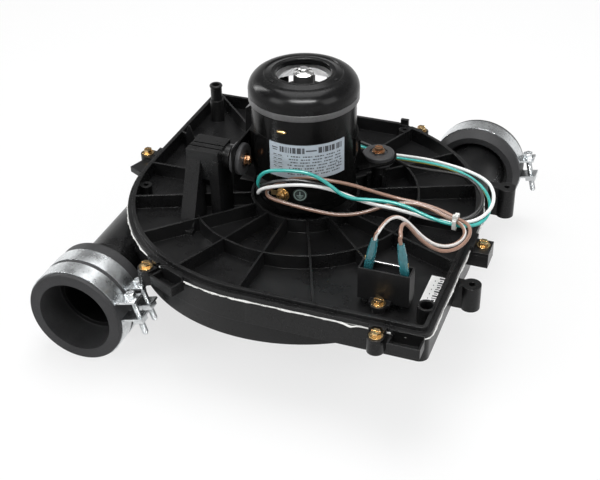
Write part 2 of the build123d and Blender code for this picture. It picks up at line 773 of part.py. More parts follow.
def bearing(bottom):
    outer = bearing_radius - running_clearance
    race = ring(outer, shaft_radius + running_clearance, bottom, bottom + bearing_height)
    return race


def motor_label():
    """Thin blank plate wrapped round the front of the can."""
    wrap = ring(can_radius + 0.3, can_radius, 84.0, 113.5)
    sector_start = radians(-109.6)
    sector_end = radians(-22.0)
    reach = can_radius * 3
    wedge = Polygon(
        (0, 0),
        (reach * cos(sector_start), reach * sin(sector_start)),
        (reach * cos((sector_start + sector_end) / 2), reach * sin((sector_start + sector_end) / 2)),
        (reach * cos(sector_end), reach * sin(sector_end)),
        align=None,
    )
    return wrap & (Pos(0, 0, 80) * extrude(wedge, 40))


def ground_screw():
    screw = hex_screw(6.0, 1.55)
    return on_can(ground_screw_angle, ground_screw_height, 1.0) * screw


def ground_terminal():
    """Ring terminal under the ground screw with a folded barrel."""
    plate = extrude(Circle(5.6), 1.0)
    plate += Pos(0, -6.0, 0.5) * Box(4.0, 8.0, 1.0)
    plate -= extrude(Circle(1.7), 1.0)
    terminal = on_can(ground_screw_angle, ground_screw_height, 0.0) * plate
    return terminal - post(0, 0, can_radius, can_bottom, can_top)


def ground_disc():
    """Small round plain disc beside the ground screw."""
    disc = ring(can_radius + 0.3, can_radius, 60.0, 80.0)
    cutter = on_can(284.9, 69.5, -3.0) * extrude(Circle(5.6), 8.0)
    return disc & cutter


# -------------------------------------------------------------------- mounts
def motor_bracket():
    """Band round the back of the can with two side plates and a stepped right arm."""
    inner = can_radius + 0.02
    outer = inner + bracket_thickness
    band = ring(outer, inner, 88.0, 104.0)
    open_front = Pos(0, 0, 80) * extrude(
        Polygon((0, 0), (-60, -22), (-60, -90), (100, -90), (100, 0), align=None), 40)
    band -= open_front
    plate_x0 = -outer
    plate = block(plate_x0, plate_x0 + bracket_thickness, -side_grommet_y - 15, side_grommet_y + 15,
                  side_grommet_z - 16, 104.0)
    plate -= post(0, 0, inner, 60, 120)
    bracket = band + plate
    strap_outer = outer + 1.0
    tab_bottom = right_post_top + grommet_height / 2 + 0.3 - bracket_thickness / 2
    strap = block(inner - 2.0, strap_outer, -11.0, 11.0, tab_bottom, 92.0)
    tab = block(inner, right_post_distance, -15.0, 15.0, tab_bottom, tab_bottom + bracket_thickness)
    tab += Pos(right_post_distance, 0, tab_bottom) * extrude(Circle(15.0), bracket_thickness)
    gussets = Part()
    arm = strap + tab
    for side in (-1, 1):
        web = extrude(Polygon((inner, tab_bottom), (inner + 12, tab_bottom), (inner, 88.0), align=None), 1.5)
        arm += Pos(0, side * 10.0 + 0.75, 0) * Rot(90, 0, 0) * web
    arm -= post(0, 0, inner, 60, 120)
    arm -= Pos(right_post_distance, 0, tab_bottom) * extrude(Circle(grommet_hole), bracket_thickness)
    bracket += Rot(0, 0, right_post_angle) * arm
    for side in (-1, 1):
        hole = Pos(plate_x0 - 5, side * side_grommet_y, side_grommet_z) * Rot(0, 90, 0)
        hole_body = Cylinder(grommet_hole, 12.0, align=(Align.CENTER, Align.CENTER, Align.MIN))
        bracket -= hole * hole_body
    return bracket


side_plate_middle = -(can_radius + 0.02 + bracket_thickness / 2)
right_tab_middle = right_post_top + grommet_height / 2 + 0.3


def mount_places():
    """Places of the three rubber mounts; local +Z points away from the post."""
    right_x = right_post_distance * cos(radians(right_post_angle))
    right_y = right_post_distance * sin(radians(right_post_angle))
    return [
        Pos(side_plate_middle, -side_grommet_y, side_grommet_z) * Rot(0, 90, 0),
        Pos(side_plate_middle, side_grommet_y, side_grommet_z) * Rot(0, 90, 0),
        Pos(right_x, right_y, right_tab_middle),
    ]


def grommet():
    """Rubber ring with a groove for the sheet and a bore for the sleeve."""
    half = grommet_height / 2
    body = Cylinder(grommet_radius, grommet_height)
    body = fillet(body.edges().filter_by(GeomType.CIRCLE), 1.4)
    groove = Cylinder(grommet_radius + 1, bracket_thickness) - Cylinder(grommet_hole, bracket_thickness)
    body -= groove
    body -= Cylinder(sleeve_radius, grommet_height)
    body -= Pos(0, 0, half) * Cylinder(grommet_hole - 1.0, 2.4)
    return body


def sleeve():
    length = grommet_height + 0.6
    return Cylinder(sleeve_radius, length) - Cylinder(sleeve_bore, length)


def mount_screw():
    return Pos(0, 0, grommet_height / 2 + 0.3) * hex_screw(22.0)


# ----------------------------------------------------------------- capacitor
def capacitor_case():
    bottom = floor_height + capacitor_stand
    case = block(capacitor_left, capacitor_left + capacitor_length, capacitor_front,
                 capacitor_front + capacitor_width, bottom, bottom + capacitor_height)
    case -= block(capacitor_left + capacitor_wall, capacitor_left + capacitor_length - capacitor_wall,
                  capacitor_front + capacitor_wall, capacitor_front + capacitor_width - capacitor_wall,
                  bottom + capacitor_wall, bottom + capacitor_height)
    ear_x = capacitor_left + capacitor_length / 2 - 1.5
    ear_y = capacitor_front - 5.6
    case += post(ear_x, ear_y, 6.0, bottom, bottom + 2.4)
    case += block(ear_x - 8, ear_x + 8, ear_y, capacitor_front + 0.5, bottom, bottom + 2.4)
    return case - post(ear_x, ear_y, 2.4, bottom, bottom + 2.4)


def capacitor_fill():
    """Cast resin inside the case, below the open rim."""
    bottom = floor_height + capacitor_stand
    return block(capacitor_left + capacitor_wall, capacitor_left + capacitor_length - capacitor_wall,
                 capacitor_front + capacitor_wall, capacitor_front + capacitor_width - capacitor_wall,
                 bottom + capacitor_wall, bottom + capacitor_height - capacitor_recess)


def capacitor_screw():
    ear_x = capacitor_left + capacitor_length / 2 - 1.5
    ear_y = capacitor_front - 5.6
    return Pos(ear_x, ear_y, floor_height + capacitor_stand + 2.4) * hex_screw(7.0)


terminal_bottom = floor_height + capacitor_stand + capacitor_height - capacitor_recess
terminal_height = 12.0
terminal_y = capacitor_front + capacitor_width / 2
terminal_xs = (
    capacitor_left + terminal_inset,
    capacitor_left + capacitor_length - terminal_inset,
)
terminal_leans = (10.0, -8.4)
sleeve_length = 26.0


def capacitor_terminals():
    """Two flat blades that stand in the resin."""
    blades = []
    for x, lean in zip(terminal_xs, terminal_leans):
        blade = Box(4.8, 0.8, terminal_height, align=(Align.CENTER, Align.CENTER, Align.MIN))
        blades.append(Pos(x, terminal_y, terminal_bottom) * blade)
    return group(blades)


def terminal_place(number):
    """Foot of a wire terminal sleeve, leaning sideways as it is pushed on the blade."""
    x = terminal_xs[number]
    return Pos(x, terminal_y, terminal_bottom + 1.5) * Rot(0, terminal_leans[number], 0)


def terminal_sleeves():
    """Flat insulating sleeves over the two push-on connectors."""
    sleeves = []
    for number in range(2):
        wide = RectangleRounded(6.8, 4.6, 2.0)
        body = extrude(wide, sleeve_length * 0.62)
        neck = Pos(0, 0, sleeve_length * 0.62) * loft(
            [wide, Pos(0, 0, sleeve_length * 0.38) * RectangleRounded(5.0, 4.4, 2.0)])
        body += neck
        blade_room = Box(5.2, 1.2, terminal_height + 6, align=(Align.CENTER, Align.CENTER, Align.MIN))
        blade_cut = Pos(terminal_xs[number], terminal_y, terminal_bottom) * blade_room
        solid = terminal_place(number) * body
        sleeves.append(solid - blade_cut)
    return group(sleeves)


def part_label():
    """Blank adhesive label on the cover floor beside the capacitor."""
    return block(124.8, 138.0, -101.0, -64.0, floor_height, floor_height + 0.3)


# --------------------------------------------------------------------- rotor
def motor_shaft():
    shaft = post(0, 0, shaft_radius, shaft_bottom, shaft_top)
    shaft = chamfer(shaft.edges().filter_by(GeomType.CIRCLE), 0.6)
    flat = block(shaft_radius - 0.7, shaft_radius + 1, -5, 5, shaft_bottom - 1, shaft_bottom + 24)
    return shaft - flat


def rotor_core():
    core = ring(stator_bore - air_gap, shaft_radius, stator_bottom + 1, stator_top - 1)
    core += ring(stator_bore - air_gap - 1.5, shaft_radius + 9.0, stator_bottom - 3, stator_bottom + 1)
    core += ring(stator_bore - air_gap - 1.5, shaft_radius + 9.0, stator_top - 1, stator_top + 3)
    return core


def cooling_fan():
    """Small disc fan on a tall hub near the top of the shaft, blades under the disc."""
    hub = ring(cooling_hub_radius, shaft_radius, cooling_disc_top - 9.5, cooling_hub_top)
    hub += ring(cooling_disc_radius, shaft_radius, cooling_disc_top - 1.5, cooling_disc_top)
    for number in range(8):
        blade = Box(cooling_fan_radius - 6.0, 1.2, 8.0, align=(Align.MIN, Align.CENTER, Align.MAX))
        hub += Rot(0, 0, 45.0 * number) * (Pos(6.0, 0, cooling_disc_top - 1.0) * blade)
    return hub


def push_nut():
    """Spring steel star washer that holds the cooling fan on the shaft."""
    seat = cooling_hub_top
    star = ring(cooling_hub_radius, shaft_radius, seat, seat + 0.8)
    for number in range(6):
        notch = Box(4.0, 2.0, 2.0)
        star -= Rot(0, 0, 60.0 * number) * (Pos(cooling_hub_radius, 0, seat + 0.4) * notch)
    return star + ring(shaft_radius + 1.6, shaft_radius, seat + 0.8, seat + 2.4)


impeller_top = floor_bottom - impeller_top_gap
impeller_bottom = impeller_top - impeller_height


def impeller():
    """Wheel with a back disc, curved blades and a front ring."""
    wheel = ring(impeller_radius, hub_radius, impeller_top - 1.6, impeller_top)
    wheel += ring(impeller_radius, impeller_radius - 26.0, impeller_bottom, impeller_bottom + 1.2)
    chord = impeller_radius - impeller_eye
    for number in range(blade_count):
        blade = Box(chord * 1.12, blade_thickness, impeller_height - 1.0,
                    align=(Align.MIN, Align.CENTER, Align.MIN))
        blade = Pos(impeller_eye, 0, impeller_bottom + 0.5) * (Rot(0, 0, -32.0) * blade)
        wheel += Rot(0, 0, 360.0 / blade_count * number) * blade
    return wheel & post(0, 0, impeller_radius, impeller_bottom, impeller_top)


def impeller_hub():
    hub = ring(hub_radius, shaft_radius, impeller_top - hub_height, impeller_top - 1.6)
    hub += ring(hub_radius, shaft_radius, impeller_top - 1.6, impeller_top)
    flange = ring(hub_radius + 5.0, hub_radius, impeller_top - 3.6, impeller_top - 1.6)
    hole = Pos(shaft_radius + 5, 0, impeller_top - 12.0) * Rot(0, 90, 0) * Cylinder(2.0, 12.0)
    return hub + flange - hole


def hub_set_screw():
    screw = Cylinder(1.97, hub_radius - shaft_radius - 0.3)
    middle = (hub_radius + shaft_radius) / 2 + 0.1
    return Pos(middle, 0, impeller_top - 12.0) * Rot(0, 90, 0) * screw


# --------------------------------------------------------------------- wires
routes = {
    "wire_green": [
        (-22.8, -41.5, 71.9), (-20.6, -47.6, 71.9), (-16.6, -52.6, 75.5), (-8.2, -53.9, 85.1),
        (4.0, -51.5, 91.6), (19.2, -46.2, 91.2), (36.5, -39.6, 84.6), (55.4, -33.4, 75.0),
        (75.3, -29.0, 67.4), (95.4, -27.0, 62.2), (114.2, -26.1, 58.7), (130.0, -23.2, 56.8),
        (142.0, -18.6, 55.4), (149.5, -9.6, 55.5), (151.8, 3.0, 57.2), (148.5, 17.0, 59.4),
        (139.7, 30.3, 61.5), (125.7, 41.0, 62.9), (107.4, 48.5, 63.5), (86.6, 53.6, 63.2),
        (65.5, 58.0, 61.7), (46.0, 62.9, 59.2), (30.2, 68.5, 56.1), (19.0, 73.0, 53.8),
        (12.0, 73.0, 53.8),
    ],
    "wire_white": [
        (-22.8, -41.5, 68.1), (-20.6, -47.6, 68.1), (-15.2, -52.3, 70.5), (-3.6, -52.6, 75.4),
        (11.6, -49.0, 78.5), (28.9, -43.1, 77.4), (47.5, -36.4, 72.6), (67.5, -30.5, 66.2),
        (88.9, -26.3, 60.5), (110.6, -23.3, 57.1), (130.0, -20.2, 56.8), (143.2, -13.9, 57.2),
        (150.9, -3.6, 59.6), (153.2, 9.8, 61.9), (149.3, 24.5, 64.0), (139.3, 37.7, 65.6),
        (123.7, 47.7, 66.6), (104.3, 54.6, 66.4), (83.4, 60.0, 64.9), (63.2, 65.2, 61.9),
        (45.2, 70.7, 58.2), (30.4, 75.0, 55.0), (19.0, 76.5, 53.8), (12.0, 76.5, 53.8),
    ],
    "wire_black": [
        (-19.8, -40.4, 72.2), (-17.6, -46.5, 72.2), (-11.9, -52.1, 75.7), (-0.9, -54.1, 79.3),
        (13.8, -51.8, 79.5), (31.1, -45.6, 75.5), (50.1, -37.5, 68.7), (70.6, -29.3, 61.8),
        (91.9, -23.0, 57.5), (112.5, -19.4, 56.1), (130.0, -17.2, 56.8), (140.7, -9.7, 58.5),
        (145.3, 1.0, 61.1), (143.7, 13.5, 63.7), (136.1, 25.6, 65.5), (123.0, 35.8, 65.8),
        (105.6, 43.5, 64.3), (86.1, 50.0, 61.3), (66.6, 57.0, 58.3), (48.2, 64.9, 56.8),
        (31.7, 71.7, 57.1), (19.0, 76.0, 57.4), (12.0, 76.0, 57.4),
    ],
    "wire_brown": [
        (-16.8, -39.3, 71.9), (-14.6, -45.4, 71.9), (-9.2, -49.9, 74.7), (2.4, -49.2, 82.7),
        (16.6, -44.5, 86.7), (31.5, -37.2, 84.1), (47.0, -28.8, 77.3), (63.6, -21.0, 69.9),
        (81.8, -15.2, 64.8), (100.4, -12.6, 61.9), (117.6, -13.5, 60.5), (131.0, -18.2, 59.8),
        (139.6, -24.3, 60.4), (143.2, -32.8, 60.2), (142.2, -42.8, 60.4), (137.3, -52.7, 61.9),
        (129.8, -61.3, 65.3), (121.6, -68.4, 70.8), (114.7, -74.3, 78.1), (110.4, -79.8, 86.2),
        (107.9, -85.8, 94.0), (107.2, -92.6, 99.6), (108.0, -99.4, 101.4), (109.4, -104.4, 98.2),
        (110.2, -105.9, 93.2), (111.3, -105.9, 88.6),
    ],
    "wire_brown_white": [
        (-16.8, -39.3, 68.1), (-14.6, -45.4, 68.1), (-7.7, -50.4, 67.6), (6.2, -51.0, 66.1),
        (23.2, -47.0, 64.0), (40.8, -39.1, 62.0), (58.1, -29.4, 60.6), (75.2, -20.8, 59.8),
        (92.0, -15.9, 59.3), (107.5, -15.4, 59.6), (120.6, -18.0, 60.4), (131.0, -21.7, 59.8),
        (137.0, -28.4, 59.6), (138.7, -37.1, 59.0), (136.3, -46.5, 59.4), (130.7, -54.8, 61.5),
        (123.5, -61.3, 65.8), (116.3, -66.4, 72.3), (110.1, -71.5, 80.1), (105.2, -77.4, 88.4),
        (101.6, -84.0, 95.8), (98.7, -91.4, 101.2), (96.2, -98.6, 102.6), (94.0, -104.0, 99.0),
        (93.0, -105.9, 93.6), (92.1, -105.9, 88.5),
    ],
}


def corner_radii(points):
    """The largest radius that the two runs beside each corner leave room for."""
    radii = []
    for before, corner, after in zip(points, points[1:], points[2:]):
        a = Vector(*corner) - Vector(*before)
        b = Vector(*after) - Vector(*corner)
        half_turn = radians(a.get_angle(b)) / 2
        radii.append(0.45 * min(a.length, b.length) / tan(half_turn))
    return radii


def wire(name):
    """Round wire along its route: straight runs joined by tangent arcs."""
    points = routes[name]
    radii = corner_radii(points)
    path = FilletPolyline(*points, radius=radii)
    start = Plane(origin=path @ 0, z_dir=path % 0)
    tube = sweep(start * Circle(wire_diameter / 2), path=path)
    expected = pi * (wire_diameter / 2) ** 2 * path.length
    print(f"{name}: length {path.length:.1f}, smallest radius {min(radii):.1f}, "
          f"volume ratio {tube.volume / expected:.4f}")
    return tube


def wire_tie():
    """Plastic strap round the five wires, with its lock and a short tail."""
    end = Plane.YZ.offset(tie_x - tie_width / 2)
    middle = Pos(-19.9, 58.3)
    strap = extrude(end * middle * RectangleRounded(tie_room_y + 2 * tie_thickness,
                                                    tie_room_z + 2 * tie_thickness, 2.0), tie_width)
    strap -= extrude(end * middle * RectangleRounded(tie_room_y, tie_room_z, 1.0), tie_width)
    lock_bottom = 58.3 + tie_room_z / 2 + tie_thickness * 0.5
    lock = Pos(tie_x, -22.5, lock_bottom + 1.3) * Box(4.0, 4.0, 2.6)
    return strap + lock


def harness_plug():
    """Three-way plug on the end of the green, white and black wires."""
    body = block(-12.0, 12.0, 69.0, 81.0, rim_height, rim_height + 11.5)
    latch = block(-8.0, 6.0, 72.0, 78.0, rim_height + 11.0, rim_height + 13.5)
    return body + latch


# -------------------------------------------------------------------- output
save(lower_housing(), "lower_housing")
save(cover(), "cover")
save(housing_seal(), "housing_seal")
save(shaft_seal(), "shaft_seal")
save(cover_screws(), "cover_screws")
save(inlet_gasket(), "inlet_gasket")
save(coupling(left_pipe_x, left_pipe_z, left_coupling_start, left_coupling_length,
              left_pipe_mouth, False), "left_coupling")
save(group(clamp_band(clamp) for clamp in left_clamps), "left_clamp_bands")
save(group(clamp_screw(clamp) for clamp in left_clamps), "left_clamp_screws")
save(group(clamp_nut(clamp) for clamp in left_clamps), "left_clamp_nuts")
save(coupling(right_pipe_x, right_pipe_z, right_coupling_start, right_coupling_length,
              right_pipe_mouth, True), "right_coupling")
save(clamp_band(right_clamp), "right_clamp_band")
save(clamp_screw(right_clamp), "right_clamp_screw")
save(clamp_nut(right_clamp), "right_clamp_nut")
save(lower_end_bell(), "lower_end_bell")
save(motor_can(), "motor_can")
save(wire_bushing(), "wire_bushing")
save(stator_core(), "stator_core")
save(windings(), "windings")
save(upper_spider(), "upper_spider")
save(through_bolts(), "through_bolts")
save(dome_struts(), "dome_struts")
save(dome_ring(), "dome_ring")
save(dome_cap(), "dome_cap")
save(bearing(bell_bottom + 1.0), "lower_bearing")
save(bearing(spider_top - 1.0 - bearing_height), "upper_bearing")
save(motor_label(), "motor_label")
save(ground_screw(), "ground_screw")
save(ground_terminal(), "ground_terminal")
save(ground_disc(), "ground_disc")
save(motor_bracket(), "motor_bracket")
save(group(place * grommet() for place in mount_places()), "mount_grommets")
save(group(place * sleeve() for place in mount_places()), "mount_sleeves")
save(group(place * mount_screw() for place in mount_places()), "mount_screws")
save(capacitor_case(), "capacitor_case")
save(capacitor_fill(), "capacitor_fill")
save(capacitor_screw(), "capacitor_screw")
save(capacitor_terminals(), "capacitor_terminals")
save(terminal_sleeves(), "terminal_sleeves")
save(part_label(), "part_label")
save(motor_shaft(), "motor_shaft")
save(rotor_core(), "rotor_core")
save(cooling_fan(), "cooling_fan")
save(push_nut(), "push_nut")
save(impeller(), "impeller")
save(impeller_hub(), "impeller_hub")
save(hub_set_screw(), "hub_set_screw")
for wire_name in routes:
    save(wire(wire_name), wire_name)
save(wire_tie(), "wire_tie")
save(harness_plug(), "harness_plug")
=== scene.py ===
import math

import bmesh
import bpy
from mathutils import Matrix, Vector


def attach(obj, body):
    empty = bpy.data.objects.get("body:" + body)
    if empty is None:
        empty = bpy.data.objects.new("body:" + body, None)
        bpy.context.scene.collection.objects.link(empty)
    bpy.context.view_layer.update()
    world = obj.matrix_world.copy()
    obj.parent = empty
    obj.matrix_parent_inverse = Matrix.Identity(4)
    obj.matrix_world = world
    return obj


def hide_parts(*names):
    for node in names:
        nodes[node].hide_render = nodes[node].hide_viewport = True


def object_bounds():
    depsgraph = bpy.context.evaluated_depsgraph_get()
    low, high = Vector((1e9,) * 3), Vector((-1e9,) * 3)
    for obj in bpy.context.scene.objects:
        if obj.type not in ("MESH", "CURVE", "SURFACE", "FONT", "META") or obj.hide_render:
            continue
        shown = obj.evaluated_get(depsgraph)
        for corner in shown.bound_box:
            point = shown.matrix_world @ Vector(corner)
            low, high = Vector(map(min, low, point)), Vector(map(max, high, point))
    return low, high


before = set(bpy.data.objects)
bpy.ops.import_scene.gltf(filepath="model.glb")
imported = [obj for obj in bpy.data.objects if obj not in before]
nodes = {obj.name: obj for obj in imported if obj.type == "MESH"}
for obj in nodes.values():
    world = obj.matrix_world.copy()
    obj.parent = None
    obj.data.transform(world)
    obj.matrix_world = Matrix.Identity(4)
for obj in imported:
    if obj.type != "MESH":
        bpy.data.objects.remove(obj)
built_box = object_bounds()


# ---------------------------------------------------------------------------
# Camera: looks down on the fan from the front right, so that the cover, the
# motor, both outlets and the wiring all show.
# ---------------------------------------------------------------------------
camera_data = bpy.data.cameras.new("camera")
camera_data.lens = 69.52
camera_data.sensor_width = 36.0
camera_data.clip_start = 0.05
camera_data.clip_end = 20.0
camera = bpy.data.objects.new("camera", camera_data)
bpy.context.scene.collection.objects.link(camera)
bpy.context.scene.camera = camera
look = Vector((-0.29955, 0.76866, -0.56519)).normalized()
level = Vector((0.93175, 0.36310, 0.0)).normalized()
above = level.cross(look)
roll = math.radians(-1.143)
across = level * math.cos(roll) + above * math.sin(roll)
upward = above * math.cos(roll) - level * math.sin(roll)
turn = Matrix((across, upward, -look)).transposed().to_4x4()
camera.matrix_world = Matrix.Translation((0.28753, -0.75237, 0.55065)) @ turn


# ---------------------------------------------------------------------------
# Studio: a pale floor and an even white surround, with soft lamps overhead, at
# the left front and at the right. Two strips draw highlights on black pieces,
# and a narrow beam shines into the dome.
# ---------------------------------------------------------------------------
def looked_at(tree, path):
    """Output that is 1 for rays from the camera, mirrors and clear pieces, 0 for light."""
    seen = path.outputs["Is Camera Ray"]
    for kind in ("Is Glossy Ray", "Is Transmission Ray"):
        either = tree.nodes.new("ShaderNodeMath")
        either.operation = "MAXIMUM"
        tree.links.new(seen, either.inputs[0])
        tree.links.new(path.outputs[kind], either.inputs[1])
        seen = either.outputs[0]
    return seen


def seen_white(name, colour, shade):
    """White where it is looked at or mirrored, and a plain colour as a source of light."""
    material = bpy.data.materials.new(name)
    material.use_nodes = True
    tree = material.node_tree
    tree.nodes.clear()
    out = tree.nodes.new("ShaderNodeOutputMaterial")
    path = tree.nodes.new("ShaderNodeLightPath")
    amount = tree.nodes.new("ShaderNodeMath")
    amount.operation = "MULTIPLY"
    amount.inputs[1].default_value = shade
    paint = tree.nodes.new("ShaderNodeBsdfDiffuse")
    paint.inputs["Color"].default_value = (*colour, 1.0)
    glow = tree.nodes.new("ShaderNodeEmission")
    glow.inputs["Color"].default_value = (1.0, 1.0, 1.0, 1.0)
    glow.inputs["Strength"].default_value = 1.0
    mix = tree.nodes.new("ShaderNodeMixShader")
    links = tree.links
    links.new(looked_at(tree, path), amount.inputs[0])
    links.new(amount.outputs[0], mix.inputs["Fac"])
    links.new(paint.outputs[0], mix.inputs[1])
    links.new(glow.outputs[0], mix.inputs[2])
    links.new(mix.outputs[0], out.inputs["Surface"])
    return material


floor_gap = 0.0005
floor_half = 6.0
floor_level = built_box[0].z - floor_gap
floor_mesh = bmesh.new()
bmesh.ops.create_grid(floor_mesh, x_segments=1, y_segments=1, size=floor_half)
bmesh.ops.translate(floor_mesh, verts=floor_mesh.verts, vec=(0.0, 0.0, floor_level))
floor_data = bpy.data.meshes.new("floor")
floor_mesh.to_mesh(floor_data)
floor_mesh.free()
floor = bpy.data.objects.new("floor", floor_data)
bpy.context.scene.collection.objects.link(floor)
floor.data.materials.append(seen_white("floor_paint", (0.8, 0.8, 0.8), 0.72))

world = bpy.data.worlds.new("surround")
bpy.context.scene.world = world
world.use_nodes = True
sky = world.node_tree
sky.nodes.clear()
sky_out = sky.nodes.new("ShaderNodeOutputWorld")
sky_path = sky.nodes.new("ShaderNodeLightPath")
sky_white = sky.nodes.new("ShaderNodeBackground")
sky_white.inputs["Color"].default_value = (1.0, 1.0, 1.0, 1.0)
# mirrored surround: white near the horizon, dimmer towards the dark ceiling
sky_way = sky.nodes.new("ShaderNodeTexCoord")
sky_split = sky.nodes.new("ShaderNodeSeparateXYZ")
sky_fade = sky.nodes.new("ShaderNodeMapRange")
sky_fade.interpolation_type = "SMOOTHSTEP"
sky_fade.inputs["From Min"].default_value = 0.12
sky_fade.inputs["From Max"].default_value = 0.5
sky_fade.inputs["To Min"].default_value = 1.0
sky_fade.inputs["To Max"].default_value = 0.22
sky_seen = sky.nodes.new("ShaderNodeMath")
sky_seen.operation = "MAXIMUM"
sky.links.new(sky_way.outputs["Generated"], sky_split.inputs["Vector"])
sky.links.new(sky_split.outputs["Z"], sky_fade.inputs["Value"])
sky.links.new(sky_fade.outputs["Result"], sky_seen.inputs[0])
sky.links.new(sky_path.outputs["Is Camera Ray"], sky_seen.inputs[1])
sky.links.new(sky_seen.outputs[0], sky_white.inputs["Strength"])
sky_fill = sky.nodes.new("ShaderNodeBackground")
sky_fill.inputs["Color"].default_value = (1.0, 1.0, 1.0, 1.0)
sky_fill.inputs["Strength"].default_value = 0.45
sky_mix = sky.nodes.new("ShaderNodeMixShader")
sky.links.new(looked_at(sky, sky_path), sky_mix.inputs["Fac"])
sky.links.new(sky_fill.outputs[0], sky_mix.inputs[1])
sky.links.new(sky_white.outputs[0], sky_mix.inputs[2])
sky.links.new(sky_mix.outputs[0], sky_out.inputs["Surface"])


def soft_lamp(name, place, aim, size, power):
    """Square soft lamp that faces a point."""
    data = bpy.data.lights.new(name, "AREA")
    data.shape = "SQUARE"
    data.size = size
    data.energy = power
    lamp = bpy.data.objects.new(name, data)
    bpy.context.scene.collection.objects.link(lamp)
    lamp.location = place
    lamp.rotation_euler = (Vector(aim) - Vector(place)).to_track_quat("-Z", "Y").to_euler()
    return lamp


part_middle = (0.0, 0.0, 0.05)
soft_lamp("overhead_lamp", (-0.1, 0.25, 1.3), part_middle, 0.9, 14.0)
soft_lamp("front_lamp", (-0.9, -1.1, 0.9), part_middle, 0.7, 9.0)
soft_lamp("side_lamp", (1.2, -0.3, 0.8), part_middle, 0.7, 6.0)
# long strip lights that only draw the highlights on enamel and plastic
motor_middle = (0.0, 0.0, 0.1)
for strip_name, strip_place, strip_width, strip_height, strip_power in (
        ("front_strip", (0.25, -0.75, 1.15), 0.9, 0.2, 40.0),
        ("left_strip", (-1.1, 0.2, 0.75), 0.16, 0.8, 9.0)):
    strip = soft_lamp(strip_name, strip_place, motor_middle, strip_width, strip_power)
    strip.data.shape = "RECTANGLE"
    strip.data.size_y = strip_height
    strip.visible_diffuse = False
# narrow beam into the opening of the motor's dome
dome_mouth = Vector((0.0, 0.0, 0.152))
snoot_data = bpy.data.lights.new("dome_snoot", "SPOT")
snoot_data.energy = 90.0
snoot_data.spot_size = math.radians(2.7)
snoot_data.spot_blend = 0.5
snoot_data.shadow_soft_size = 0.03
snoot = bpy.data.objects.new("dome_snoot", snoot_data)
bpy.context.scene.collection.objects.link(snoot)
snoot.location = (0.45, -1.28, 1.1)
snoot.rotation_euler = (dome_mouth - snoot.location).to_track_quat("-Z", "Y").to_euler()
snoot.visible_glossy = False


# ---------------------------------------------------------------------------
# Motor and capacitor leads: five stranded wires in smooth vinyl insulation,
# 2.8 mm thick. They leave the slanted bushing in the motor, run together to the
# tie, and part there: two to the capacitor and three round the back.
# ---------------------------------------------------------------------------
wire_radius = 0.0014


def vinyl(name, colour, stripe=None, stripe_width=0.3, stripe_turn=0.0):
    """Smooth wire insulation, with one stripe along it if there is a second colour."""
    material = bpy.data.materials.new(name)
    material.use_nodes = True
    tree = material.node_tree
    shader = tree.nodes["Principled BSDF"]
    shader.inputs["Roughness"].default_value = 0.34
    shader.inputs["Coat Weight"].default_value = 0.15
    place = tree.nodes.new("ShaderNodeTexCoord")
    blotch = tree.nodes.new("ShaderNodeTexNoise")
    blotch.inputs["Scale"].default_value = 60.0
    blotch.inputs["Detail"].default_value = 3.0
    tone = tree.nodes.new("ShaderNodeMapRange")
    tone.inputs["To Min"].default_value = 0.86
    tone.inputs["To Max"].default_value = 1.1
    shade = tree.nodes.new("ShaderNodeMix")
    shade.data_type = "RGBA"
    shade.blend_type = "MULTIPLY"
    shade.inputs["Factor"].default_value = 1.0
    tree.links.new(place.outputs["Object"], blotch.inputs["Vector"])
    tree.links.new(blotch.outputs["Fac"], tone.inputs["Value"])
    tree.links.new(tone.outputs["Result"], shade.inputs["B"])
    if stripe is None:
        shade.inputs["A"].default_value = (*colour, 1.0)
    else:
        split = tree.nodes.new("ShaderNodeSeparateXYZ")
        tree.links.new(place.outputs["UV"], split.inputs["Vector"])
        shift = tree.nodes.new("ShaderNodeMath")
        shift.operation = "ADD"
        shift.inputs[1].default_value = stripe_turn
        wrap = tree.nodes.new("ShaderNodeMath")
        wrap.operation = "FRACT"
        side = tree.nodes.new("ShaderNodeMath")
        side.operation = "LESS_THAN"
        side.inputs[1].default_value = stripe_width
        pick = tree.nodes.new("ShaderNodeMix")
        pick.data_type = "RGBA"
        pick.inputs["A"].default_value = (*colour, 1.0)
        pick.inputs["B"].default_value = (*stripe, 1.0)
        tree.links.new(split.outputs["Y"], shift.inputs[0])
        tree.links.new(shift.outputs[0], wrap.inputs[0])
        tree.links.new(wrap.outputs[0], side.inputs[0])
        tree.links.new(side.outputs[0], pick.inputs["Factor"])
        tree.links.new(pick.outputs["Result"], shade.inputs["A"])
    tree.links.new(shade.outputs["Result"], shader.inputs["Base Color"])
    return material


def lead(name, node, route, insulation):
    """One wire: a smooth curve along its route, given in millimetres and built in metres."""
    curve = bpy.data.curves.new(name, "CURVE")
    curve.dimensions = "3D"
    curve.bevel_depth = wire_radius
    curve.bevel_resolution = 5
    curve.resolution_u = 10
    curve.use_fill_caps = True
    spline = curve.splines.new("NURBS")
    spline.points.add(len(route) - 1)
    for point, (x, y, z) in zip(spline.points, route):
        point.co = (x * 0.001, y * 0.001, z * 0.001, 1.0)
    spline.order_u = 3
    spline.use_endpoint_u = True
    piece = bpy.data.objects.new(name, curve)
    bpy.context.scene.collection.objects.link(piece)
    curve.materials.append(insulation)
    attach(piece, "casing")
    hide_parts(node)


